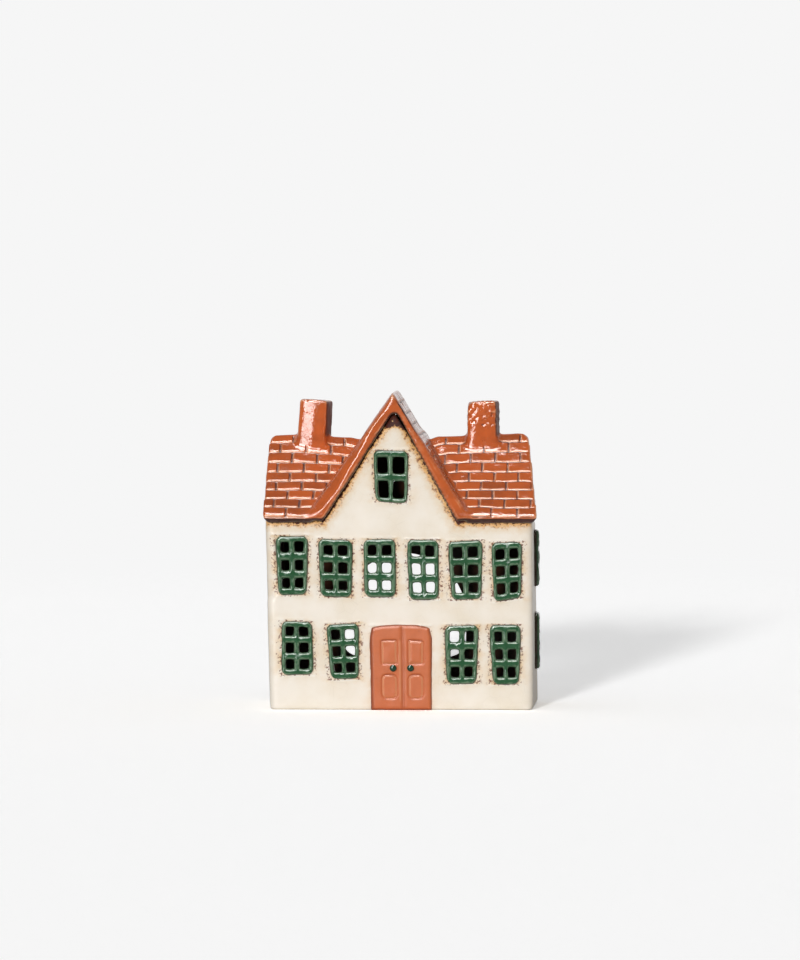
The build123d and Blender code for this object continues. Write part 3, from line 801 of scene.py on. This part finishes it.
def brick_relief(u, v, seed, sizes):
    """Hand-pressed bricks at places along and down a slope: depth, courses and bricks passed, and tone."""
    course, brick, joint = sizes.course / MM, sizes.brick / MM, sizes.joint / MM
    flat = np.stack([u, v, np.full(len(u), seed * 31.0)], 1)
    v = v + uneven(flat, 11, seed) * 0.35
    row = np.floor(v / course)
    top = v - row * course
    bond = (np.mod(row, 2) * 0.5 + 0.02 * row + 0.31) * brick
    laid = np.stack([row * 9.0, np.floor(u / brick) * 3.0, flat[:, 2]], 1)
    u = u + bond + uneven(laid, 2.0, seed + 5) * 0.5
    u = u + uneven(flat, 6, seed + 9) * 0.3
    number = np.floor(u / brick)
    left = u - number * brick
    foot, right = course - top, brick - left
    crisp = 1 - 0.5 * step(-15, 15, flat[:, 0])  # pressed less deep towards the right
    roll = joint * (1.6 + 0.5 * uneven(flat, 5, seed + 7)) * crisp
    bend = 2.0  # radius of a brick's corners
    beside = np.maximum(bend - np.minimum(left, right), 0)
    above = np.maximum(bend - np.minimum(top, foot), 0)
    corner = bend - np.hypot(beside, above)
    height = rolled(top, joint * 0.8) * rolled(foot, roll) * rolled(left, joint * 1.2) * rolled(right, joint)
    height *= rolled(corner, joint)
    tone = uneven(np.stack([row, number, flat[:, 2]], 1) * 7.3, 1.9, seed + 2)
    drop = (1 - height) * crisp - 0.18 * tone - 0.12 * uneven(flat, 3, seed + 3)
    return drop, v / course, u / brick, tone


def rolled(inward, radius):
    """0 at an edge and 1 from radius inward, with a quarter-round between."""
    return np.sqrt(1 - (1 - np.clip(inward / radius, 0, 1)) ** 2)


def build_roof(sizes, colours):
    """The main roof, the cross gable and the chimneys as one glazed body, pressed with bricks."""
    form = RoofForm()
    roof = clay("roof", form.solids(), sizes.roof_step / MM, 1.1)
    points, normals = points_of(roof.data), normals_of(roof.data)
    points = points + normals * (uneven(points, 14, 21) * 0.3 + uneven(points, 4.5, 22) * 0.14)[:, None]
    points, marks = press_bricks(points, normals, form, sizes)
    blistered = step(20, 30, points[:, 0]) * step(147, 152, points[:, 2])
    blisters = uneven(points, 2.4, 25) * 0.36 + uneven(points, 1.2, 26) * 0.14
    points += normals * (blisters * blistered)[:, None]
    points[:, 2] += form.ridge_lift(points)
    gable = step(147, 152, points[:, 2]) * (abs(points[:, 0] - form.peak[0]) < form.gable_half)
    back = (points[:, 1] + form.front) / (2 * form.front)
    points[:, 0] += taper_at(*points.T) - gable * back * form.gable_draw
    put_points(roof, within_frame(points))
    mark_breaks(roof, 5, 0.16, 1 - marks["bricks"])
    ragged = points[:, 1] + form.front - 1.5 + uneven(points, 4, 27) * 1.6
    mark(roof, "broken", gable * (normals[:, 0] > 0.5) * (1 - step(-1, 1, ragged)))
    # Painted shade: the chimneys' right faces, turned away from the key lamp, are darkened with the pooled
    # glaze colour and made rougher.
    right_face = step(0.5, 0.8, normals[:, 0]) * step(146, 149, points[:, 2]) * (gable < 0.01)
    mark(roof, "shade", right_face * 0.85)
    for name, values in marks.items():
        mark(roof, name, values)
    under = step(0.15, 0.5, -normals_of(roof.data)[:, 2])
    ragged = uneven(points, 1.5, 23) * 0.9 + uneven(points, 5, 24) * 0.7
    low = 1 - step(-0.3, 0.3, points[:, 2] - form.seam + ragged)
    mark(roof, "seam", np.maximum(under * (points[:, 2] < form.under_eave + 0.25), low))
    mark(roof, "under", under)
    glaze = roof_glaze(colours, sizes.course / MM, sizes.brick / MM)
    fire(roof, glaze, ROOF_NODES)


# Windows


def build_windows(sizes, colours):
    """Every window pad: a grid of bars cut by hand from a slab of clay."""
    glaze = green_glaze(colours)
    for seed, node in enumerate(window_nodes()):
        build_window(node, seed, sizes, glaze)


def window_nodes():
    """The CAD nodes of the window pads, by name."""
    return sorted(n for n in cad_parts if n.endswith("window") or "_window_" in n)


def build_window(node, seed, sizes, glaze):
    """One window pad, drawn flat on (across, up, out) and then set on its wall."""
    low, high = box_of(node)
    size = high - low
    wide, thick = (size[0], size[1]) if size[0] > size[1] else (size[1], size[0])
    tall = size[2]
    rows = 2 if node == "attic_window" else 3
    bars, panes = window_bars(wide, tall, thick, rows, seed)
    pad = clay(node + "_pad", bars, sizes.pad_step / MM, 0.55)
    points = points_of(pad.data)
    swell = uneven(points, 4, seed + 40) * 0.36 + uneven(points, 1.8, seed) * 0.1
    points = points + normals_of(pad.data) * swell[:, None]
    points, outline, opening = round_over(points, panes, wide, tall, thick, 1.3)
    points = round_corners(points, wide, tall, 2.6)
    put_points(pad, points)
    mark_breaks(pad, 4, 0.1)
    # rim: the pad's outer sides next to the wall, darkened with the seam colour, partly bare clay and partly
    # painted shade.
    mark(pad, "rim", (1 - step(0.1, 0.7, outline)) * (1 - step(0.4, 0.8, points[:, 2] / thick)))
    mark(pad, "lip", np.exp(-(((opening - 0.25) / 0.26) ** 2)))
    put_points(pad, within_frame(seat_pad(points, node, low, high, wide, tall)))
    fire(pad, glaze, [node])


def round_over(points, openings, wide, tall, thick, radius):
    """Rounds a pad's front over to its edges. Also gives how far in from its outline and openings it is."""
    a, b, out = points.T
    outline = np.minimum(np.minimum(a, wide - a), np.minimum(b, tall - b))
    opening = np.full(len(points), 99.0)
    for left, right, low, high in openings:
        beside, above = np.maximum(left - a, a - right), np.maximum(low - b, b - high)
        far = np.hypot(np.maximum(beside, 0), np.maximum(above, 0)) + np.minimum(np.maximum(beside, above), 0)
        opening = np.minimum(opening, far)
    fall = radius * (1 - rolled(np.minimum(outline, opening), radius))
    moved = points.copy()
    moved[:, 2] -= fall * step(0.3, 0.9, out / thick)
    return moved, outline, opening


def round_corners(points, wide, tall, radius):
    """Draws the corners of a pad's outline in to a radius."""
    middle = np.array((wide, tall)) / 2
    beyond = np.maximum(abs(points[:, :2] - middle) - (middle - radius), 0)
    share = beyond.max(1) / np.maximum(np.hypot(*beyond.T), 1e-6)
    moved = points.copy()
    pull = np.where(beyond.min(1) > 0, share - 1, 0)[:, None]
    moved[:, :2] += np.sign(points[:, :2] - middle) * beyond * pull
    return moved


def window_bars(wide, tall, thick, rows, seed):
    """A window's stiles, rails and bars, each a little off, and its panes (left, right, low, high)."""
    stile, mullion, top, bottom, bar = BAR_WIDTHS[rows]
    off = uneven(np.arange(12)[:, None] * (2.3, 0.7, 1.1) + seed, 1.0, seed) * 0.35
    middle = wide / 2 + off[0]
    columns = (stile + off[1], middle - mullion / 2), (middle + mullion / 2, wide - stile + off[2])
    pane = (tall - top - bottom - bar * (rows - 1)) / rows
    levels = [bottom + off[3]]
    for i in range(1, rows):
        at = bottom + i * pane + (i - 1) * bar + off[4 + i]
        levels += [at, at + bar]
    levels.append(tall - top + off[4])
    uprights = (0, columns[0][0]), (columns[0][1], columns[1][0]), (columns[1][1], wide)
    bars = [block((a, 0, 0), (b, tall, thick)) for a, b in uprights]
    bars += [block((0, a, 0), (wide, b, thick)) for a, b in zip([0, *levels[1::2]], [*levels[::2], tall])]
    panes = [(*column, low, high) for column in columns for low, high in zip(levels[::2], levels[1::2])]
    return bars, panes


def seat_pad(points, node, low, high, wide, tall):
    """Takes a pad's flat points to its place on the wall."""
    across, up, out = points[:, 0] / wide - 0.5, points[:, 1] / tall - 0.5, points[:, 2]
    across, up = across * (1 - 3 * up**6) + 0.5, up * (1 - 2 * across**6) + 0.5
    if node in PAD_CORNERS:
        x, z = on_pad(node, across, up).T
        return np.stack([x, high[1] - out, z], 1)
    y = low[1] + across * wide
    z = low[2] + up * tall
    if low[0] > 0:
        x = low[0] + out
        return np.stack([x + taper_at(x, y, z), y, z], 1)
    return np.stack([high[0] - out * 0.6 + lean_at(z), y, z], 1)


# Door


def build_door(sizes, colours):
    """The double door: one slab with rounded edges, pressed with a gap between its leaves and four panels."""
    low, high = box_of("door")
    wide, thick, tall = high - low
    door = clay("double_door", [block((0, 0, 0), (wide, tall, thick))], sizes.pad_step / MM * 0.9, 0.3)
    points, outline, _ = round_over(points_of(door.data), [], wide, tall, thick, 2.1)
    points, groove_and_shade, lip = press_panels(points, wide, tall, thick)
    points += normals_of(door.data) * (uneven(points, 5, 61) * 0.16)[:, None]
    # Darker all round the outline, partly slip pooled there, and most down the left edge as painted shade.
    edge = np.maximum((1 - step(0.2, 1.5, outline)) * 0.6, 1 - step(0.8, 2.4, points[:, 0]))
    mark(door, "groove_and_shade", np.maximum(groove_and_shade, edge))
    mark(door, "lip", lip)
    a, b, c = points.T
    corner = step(0.86, 1.02, b / tall) * 1.3
    a = a + (1 - a / wide) * (0.7 - 1.1 * b / tall) + 0.4 * a / wide - corner * (2 * a / wide - 1)
    b = np.maximum(b, 0) * (tall + 0.8) / tall - step(0.55, 1, b / tall) * 2.0 * abs(2 * a / wide - 1) ** 3
    put_points(door, np.stack([low[0] + a, high[1] - c, low[2] + b], 1))
    fire(door, door_slip(colours), ["door"])


def press_panels(points, wide, tall, thick):
    """Presses the door's leaf gap and panels. Returns the moved points, marks for its grooves with their
    painted shade, and marks for the painted highlights on its lips.
    """
    a, b, out = points.T
    groove_and_shade = np.exp(-(((a - LEAF_GAP * wide) / 1.0) ** 2)) * 0.45
    stile = step(0.08, 0.14, b / tall) * (1 - step(0.8, 0.84, b / tall))
    # Painted highlight: a pale line down the meeting edge of the leaves.
    lip = np.exp(-(((a - MEETING_EDGE * wide) / 0.4) ** 2)) * stile * 0.7
    drop = groove_and_shade
    for left, right in PANEL_COLUMNS:
        for low, high, bend in PANEL_ROWS:
            beside = np.maximum(left * wide - a, a - right * wide)
            above = np.maximum(low * tall - b, b - high * tall)
            far = np.hypot(np.maximum(beside + bend, 0), np.maximum(above + bend, 0)) - bend
            far = np.where((beside < -bend) & (above < -bend), np.maximum(beside, above), far)
            ring = np.exp(-((far / 0.55) ** 2))
            drop = np.maximum(drop, 0.65 * ring) - 0.2 * step(0.6, 1.8, -far)
            # Painted shade: the groove along the top of each panel is darkened most.
            topmost = step(-0.5, 0.2, b - high * tall)
            groove_and_shade = np.maximum(groove_and_shade, ring * (0.25 + 0.75 * topmost))
            # Painted highlight on the panel edges: full on the sides, half on the bottom, none on the top.
            highlight_share = (1 - topmost) * np.where(beside > above, 1, 0.5)
            lip = np.maximum(lip, np.exp(-(((far + 0.5) / 0.4) ** 2)) * highlight_share)
    moved = points.copy()
    moved[:, 2] -= drop * step(0.5, 0.9, out / thick)
    return moved, groove_and_shade, lip


def turned(profile, sides, about, axis="z"):
    """A turned form: points as (radius, height) spun about a point, along z or out of the front."""
    angle = np.arange(sides) * (2 * math.pi / sides)
    rings = []
    for radius, height in profile:
        ring = np.stack([radius * np.cos(angle), radius * np.sin(angle), np.full(sides, height)], 1)
        rings.append(ring if axis == "z" else np.stack([ring[:, 0], -ring[:, 2], ring[:, 1]], 1))
    points = np.concatenate(rings) + about
    faces = [
        (i * sides + j, i * sides + (j + 1) % sides, (i + 1) * sides + (j + 1) % sides, (i + 1) * sides + j)
        for i in range(len(profile) - 1)
        for j in range(sides)
    ]
    return points, faces


def build_knobs(colours):
    """The two ball knobs, pressed on by hand."""
    glaze = knob_glaze(colours)
    for seed, node in enumerate(("door_knob_left", "door_knob_right")):
        low, high = box_of(node)
        wide, rise, _ = high - low
        bow = np.linspace(-0.42, 0.5, 15) * math.pi
        profile = [(0.75 * wide / 2, 0), (0.7 * wide / 2, 0.1 * rise)]
        profile += [(wide / 2 * math.cos(b), rise * (0.55 + 0.45 * math.sin(b))) for b in bow]
        middle = (low + high) / 2
        centre = (middle[0] + 0.6 + 0.4 * seed, high[1], middle[2] + KNOB_RISE)
        points, faces = turned(profile, 32, centre, "front")
        points = points + uneven(points, 2, 70 + seed)[:, None] * 0.06
        knob = new_object(node + "_ball", points * MM, faces)
        dress(knob, glaze, "house", [node])


# Tealight


def build_tealight():
    """The tealight: a fluted cup, poured wax, a braided wick and its tab."""
    low, high = box_of("tealight_cup")
    centre = ((low[0] + high[0]) / 2, (low[1] + high[1]) / 2, low[2])
    r, h = (high[0] - low[0]) / 2, high[2] - low[2]
    profile = [(0, 0.5), (r * 0.8, 0.5), (r * 0.86, 0.05), (r * 0.93, 0.4), (r * 0.955, 1.6)]
    profile += [(r * 0.965, h - 1.2), (r * 0.985, h - 0.8), (r, h - 0.4), (r * 0.99, h)]
    profile += [(r * 0.955, h - 0.15), (r * 0.94, h - 1.2), (r * 0.93, 1.8), (r * 0.9, 0.9), (0, 0.9)]
    points, faces = turned(profile, 144, (0, 0, 0))
    angle = np.arctan2(points[:, 1], points[:, 0])
    wall = step(0.9, 2.5, points[:, 2]) * (1 - step(h - 2.5, h - 1.2, points[:, 2]))
    points[:, :2] *= (1 + 0.008 * np.cos(angle * 36) * wall)[:, None]
    cup = new_object("fluted_cup", (points + centre) * MM, faces)
    dress(cup, cup_aluminium(), "tealight", ["tealight_cup"])
    build_wax(centre)
    build_wick(centre)
    build_tab(centre)


def build_wax(centre):
    """Poured wax with a shallow dip and a raised rim where it clings to the cup."""
    low, high = box_of("tealight_wax")
    r, base, top = (high[0] - low[0]) / 2, low[2] - centre[2], high[2] - centre[2]
    radii = np.linspace(1, 0, 24)
    profile = [(0, base), (r, base), (r, top - 0.2)]
    profile += [(r * s, top - 0.5 * step(0, 0.3, 1 - s) - 0.25 * math.cos(s * 7) * (1 - s)) for s in radii]
    points, faces = turned(profile, 72, (0, 0, 0))
    points[:, 2] = np.minimum(points[:, 2] + uneven(points, 7, 80) * 0.12 * (points[:, 2] > base + 1), top)
    wax = new_object("poured_wax", (points + centre) * MM, faces)
    dress(wax, pale_wax(), "tealight", ["tealight_wax"])


def build_wick(centre):
    """A wick braided from three strands."""
    low, high = box_of("tealight_wick")
    r, base, top = (high[0] - low[0]) / 2, low[2] - centre[2], high[2] - centre[2]
    levels = np.linspace(base, top, 60)
    profile = [(0, base)] + [(r * 0.92, z) for z in levels] + [(0, top)]
    points, faces = turned(profile, 24, (0, 0, 0))
    angle = np.arctan2(points[:, 1], points[:, 0])
    strand = np.cos(3 * angle + points[:, 2] * 3.2)
    points[:, :2] *= (1 + 0.08 * strand)[:, None]
    wick = new_object("braided_wick", (points + centre) * MM, faces)
    dress(wick, wick_cotton(), "tealight", ["tealight_wick"])


def build_tab(centre):
    """The steel tab that the wick stands in, crimped round it."""
    low, high = box_of("tealight_wick_tab")
    r, base, top = (high[0] - low[0]) / 2, low[2] - centre[2], high[2] - centre[2]
    collar = min(1.4, r * 0.3)
    lift = (top - base) * 0.35
    profile = [(0, base), (r, base), (r, base + lift * 0.6), (r * 0.95, base + lift)]
    profile += [(collar * 1.6, base + lift), (collar * 1.1, base + lift * 1.4)]
    profile += [(collar, top), (collar * 0.7, top), (0, top)]
    points, faces = turned(profile, 48, (0, 0, 0))
    tab = new_object("crimped_tab", (points + centre) * MM, faces)
    dress(tab, tab_steel(), "tealight", ["tealight_wick_tab"])


def pale_wax():
    """Pale wax that light soaks into."""
    r = Recipe("wax")
    base = r.mix(r.noise(9, 3), (0.86, 0.84, 0.78), (0.92, 0.91, 0.87))
    relief = r.bump(r.noise(2.5, 3), 0.08)
    return r.finish(base, 0.42, relief, subsurface_weight=0.4, subsurface_scale=0.004)


def wick_cotton():
    """Waxed white cotton."""
    r = Recipe("wick cotton")
    base = r.mix(r.noise(0.4, 3), (0.78, 0.75, 0.68), (0.9, 0.88, 0.82))
    return r.finish(base, 0.9, r.bump(r.noise(0.25, 3), 0.05))


def tab_steel():
    """Plain stamped steel."""
    r = Recipe("tab steel")
    base = r.mix(r.noise(2, 2), (0.55, 0.55, 0.56), (0.66, 0.66, 0.66))
    return r.finish(base, 0.32, r.bump(r.noise(0.6, 3), 0.02), metallic=1.0)


def cup_aluminium():
    """Thin pressed aluminium, finely brushed by the die."""
    r = Recipe("cup aluminium")
    streak = r.noise(1.2, 3, stretch=(1, 1, 0.15))
    base = r.mix(streak, (0.78, 0.78, 0.79), (0.88, 0.88, 0.88))
    return r.finish(base, r.ramp(streak, 0.3, 0.7, 0.22, 0.36), r.bump(streak, 0.02), metallic=1.0)


# Stage


def build_stage(stage):
    """The floor with its backdrop, the lamps, the even light and the camera."""
    build_floor(stage)
    build_lamps(stage)
    build_world(stage)
    build_camera(stage)


def build_floor(stage):
    """A floor that sweeps up into a backdrop far behind the house."""
    half, front, back, bend, top = 6.0, -8.0, 2.4, 0.8, 6.0
    turns = np.linspace(0, math.pi / 2, 24)
    curve = [(back + bend * math.sin(t), bend - bend * math.cos(t)) for t in turns]
    line = [(front, 0.0), *curve, (back + bend, top)]
    points = [(x, y, z) for y, z in line for x in (-half, half)]
    faces = [(2 * i, 2 * i + 1, 2 * i + 3, 2 * i + 2) for i in range(len(line) - 1)]
    floor = new_object("floor", points, faces)
    floor.data.polygons.foreach_set("use_smooth", np.ones(len(faces), bool))
    floor.data.materials.append(floor_paper(stage))


def floor_paper(stage):
    """Pale paper: as bright as the photograph's floor to the camera, with the house's shadow on it."""
    r = Recipe("floor paper")
    nodes, links = r.tree.nodes, r.tree.links
    nodes.remove(r.shader)
    path = nodes.new("ShaderNodeLightPath")
    seen = r.sum("MAXIMUM", path.outputs["Is Camera Ray"], path.outputs["Is Transmission Ray"])
    apart = nodes.new("ShaderNodeSeparateXYZ")
    r.put(apart.inputs[0], r.place)
    mirrored = r.sum("MULTIPLY", path.outputs["Is Glossy Ray"], r.ramp(apart.outputs["Y"], 0.4, 1.4))
    lit = nodes.new("ShaderNodeBsdfDiffuse")
    bright = [x / stage.floor_light for x in stage.backdrop]
    away = nodes.new("ShaderNodeVectorMath")
    away.operation = "LENGTH"
    r.put(away.inputs[0], r.place)
    far = r.ramp(away.outputs["Value"], 0.7, 2.0)
    r.put(lit.inputs["Color"], r.mix(seen, r.mix(far, (0.8, 0.8, 0.8), (0.4, 0.4, 0.4)), bright))
    glow = nodes.new("ShaderNodeEmission")
    r.put(glow.inputs["Color"], stage.backdrop)
    both = r.sum("MAXIMUM", r.sum("MULTIPLY", seen, far), mirrored)
    blend = nodes.new("ShaderNodeMixShader")
    r.put(blend.inputs[0], both)
    links.new(lit.outputs[0], blend.inputs[1])
    links.new(glow.outputs[0], blend.inputs[2])
    links.new(blend.outputs[0], nodes["Material Output"].inputs["Surface"])
    return r.material


def build_lamps(stage):
    """A low key from the front left, and three softboxes that only show as reflections."""
    sun = bpy.data.lights.new("key", "SUN")
    sun.energy = stage.key
    sun.angle = math.radians(4.5)
    key = bpy.data.objects.new("key", sun)
    turn, height = math.radians(7.3), math.radians(9)
    way = Vector((math.sin(turn) * math.cos(height), math.cos(turn) * math.cos(height), -math.sin(height)))
    key.rotation_euler = way.to_track_quat("-Z", "Y").to_euler()
    key.visible_glossy = False
    bpy.context.collection.objects.link(key)
    softbox("front softbox", -15, 30, 2.5, (1.0, 0.7), 42)
    softbox("top softbox", -10, 66, 2.0, (1.2, 0.9), 70)
    softbox("side softbox", -24, 14, 2.5, (0.6, 1.8), 60)


def softbox(name, turn, height, away, size, power):
    """A lamp with a straight edge, at angles from the front of the house, seen only in its glazes."""
    lamp = bpy.data.lights.new(name, "AREA")
    lamp.shape = "RECTANGLE"
    lamp.size, lamp.size_y = size
    lamp.energy = power
    box = bpy.data.objects.new(name, lamp)
    turn, height = math.radians(turn), math.radians(height)
    way = Vector((math.sin(turn) * math.cos(height), -math.cos(turn) * math.cos(height), math.sin(height)))
    box.location = Vector((0, 0, 0.1)) + way * away
    box.rotation_euler = way.to_track_quat("Z", "Y").to_euler()
    box.visible_diffuse = False
    bpy.context.collection.objects.link(box)


def build_world(stage):
    """Even light from all round, dimmer where it is mirrored in a glaze."""
    world = bpy.data.worlds.new("even light")
    world.use_nodes = True
    bpy.context.scene.world = world
    nodes, links = world.node_tree.nodes, world.node_tree.links
    nodes.clear()
    path = nodes.new("ShaderNodeLightPath")
    dim = nodes.new("ShaderNodeMapRange")
    links.new(path.outputs["Is Glossy Ray"], dim.inputs["Value"])
    dim.inputs["To Min"].default_value = stage.fill
    dim.inputs["To Max"].default_value = stage.fill * 0.5
    even = nodes.new("ShaderNodeBackground")
    links.new(dim.outputs[0], even.inputs["Strength"])
    even.inputs["Color"].default_value = (1, 1, 1, 1)
    out = nodes.new("ShaderNodeOutputWorld")
    links.new(even.outputs[0], out.inputs["Surface"])


def build_camera(stage):
    """A long lens in front of the house, a little to its right and a little above it."""
    lens = bpy.data.cameras.new("camera")
    lens.sensor_fit = "VERTICAL"
    lens.sensor_height = 36
    view_height = 518.92 * MM  # what the picture spans from top to bottom, at the front wall
    lens.lens = lens.sensor_height * stage.distance / view_height
    lens.clip_end = 100
    camera = bpy.data.objects.new("camera", lens)
    target = Vector((-0.3 * MM, -0.042, 124.5 * MM))
    across = math.cos(stage.tilt)
    away = Vector((math.sin(stage.turn) * across, -math.cos(stage.turn) * across, math.sin(stage.tilt)))
    camera.location = target + away * stage.distance
    camera.rotation_euler = (-away).to_track_quat("-Z", "Y").to_euler()
    bpy.context.collection.objects.link(camera)
    scene = bpy.context.scene
    scene.camera = camera
    scene.view_settings.view_transform = "Standard"


# Add-on


class TEALIGHT_OT_walls(bpy.types.Operator):
    """Build the leaning cream walls with the floor"""

    bl_idname = "tealight.walls"
    bl_label = "Walls"

    def execute(self, context):
        build_walls(context.scene.tealight_sizes, context.scene.tealight_colours)
        return {"FINISHED"}


class TEALIGHT_OT_roof(bpy.types.Operator):
    """Build the brick-coursed roof with its cross gable and chimneys"""

    bl_idname = "tealight.roof"
    bl_label = "Roof"

    def execute(self, context):
        build_roof(context.scene.tealight_sizes, context.scene.tealight_colours)
        return {"FINISHED"}


class TEALIGHT_OT_windows(bpy.types.Operator):
    """Build the green window pads"""

    bl_idname = "tealight.windows"
    bl_label = "Windows"

    def execute(self, context):
        build_windows(context.scene.tealight_sizes, context.scene.tealight_colours)
        return {"FINISHED"}


class TEALIGHT_OT_door(bpy.types.Operator):
    """Build the double door"""

    bl_idname = "tealight.door"
    bl_label = "Door"

    def execute(self, context):
        build_door(context.scene.tealight_sizes, context.scene.tealight_colours)
        return {"FINISHED"}


class TEALIGHT_OT_knobs(bpy.types.Operator):
    """Build the two door knobs"""

    bl_idname = "tealight.knobs"
    bl_label = "Door Knobs"

    def execute(self, context):
        build_knobs(context.scene.tealight_colours)
        return {"FINISHED"}


class TEALIGHT_OT_tealight(bpy.types.Operator):
    """Build the tealight: cup, wax, wick and tab"""

    bl_idname = "tealight.tealight"
    bl_label = "Tealight"

    def execute(self, context):
        build_tealight()
        return {"FINISHED"}


class TEALIGHT_OT_stage(bpy.types.Operator):
    """Build the floor, the lamps and the camera"""

    bl_idname = "tealight.stage"
    bl_label = "Stage"

    def execute(self, context):
        build_stage(context.scene.tealight_stage)
        return {"FINISHED"}


OPERATORS = (
    TEALIGHT_OT_walls,
    TEALIGHT_OT_roof,
    TEALIGHT_OT_windows,
    TEALIGHT_OT_door,
    TEALIGHT_OT_knobs,
    TEALIGHT_OT_tealight,
    TEALIGHT_OT_stage,
)


class TEALIGHT_PT_house(bpy.types.Panel):
    """The tealight house's settings and pieces"""

    bl_idname = "TEALIGHT_PT_house"
    bl_label = "Tealight House"
    bl_space_type = "VIEW_3D"
    bl_region_type = "UI"
    bl_category = "Tealight House"

    def draw(self, context):
        scene = context.scene
        for group in (scene.tealight_sizes, scene.tealight_colours, scene.tealight_stage):
            box = self.layout.box()
            for name in group.bl_rna.properties.keys():
                if name not in ("rna_type", "name"):
                    box.prop(group, name)
        for operator in OPERATORS:
            self.layout.operator(operator.bl_idname)


GROUPS = {
    "tealight_sizes": TealightHouseSizes,
    "tealight_colours": TealightHouseColours,
    "tealight_stage": TealightHouseStage,
}
CLASSES = (*GROUPS.values(), *OPERATORS, TEALIGHT_PT_house)


def register():
    for kind in CLASSES:
        bpy.utils.register_class(kind)
    for name, group in GROUPS.items():
        setattr(bpy.types.Scene, name, bpy.props.PointerProperty(type=group))


def unregister():
    for name in GROUPS:
        delattr(bpy.types.Scene, name)
    for kind in reversed(CLASSES):
        bpy.utils.unregister_class(kind)


def main():
    """Registers the add-on and builds every piece in order."""
    register()
    bpy.ops.tealight.walls()
    bpy.ops.tealight.roof()
    bpy.ops.tealight.windows()
    bpy.ops.tealight.door()
    bpy.ops.tealight.knobs()
    bpy.ops.tealight.tealight()
    bpy.ops.tealight.stage()
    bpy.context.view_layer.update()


if __name__ == "__main__":
    main()
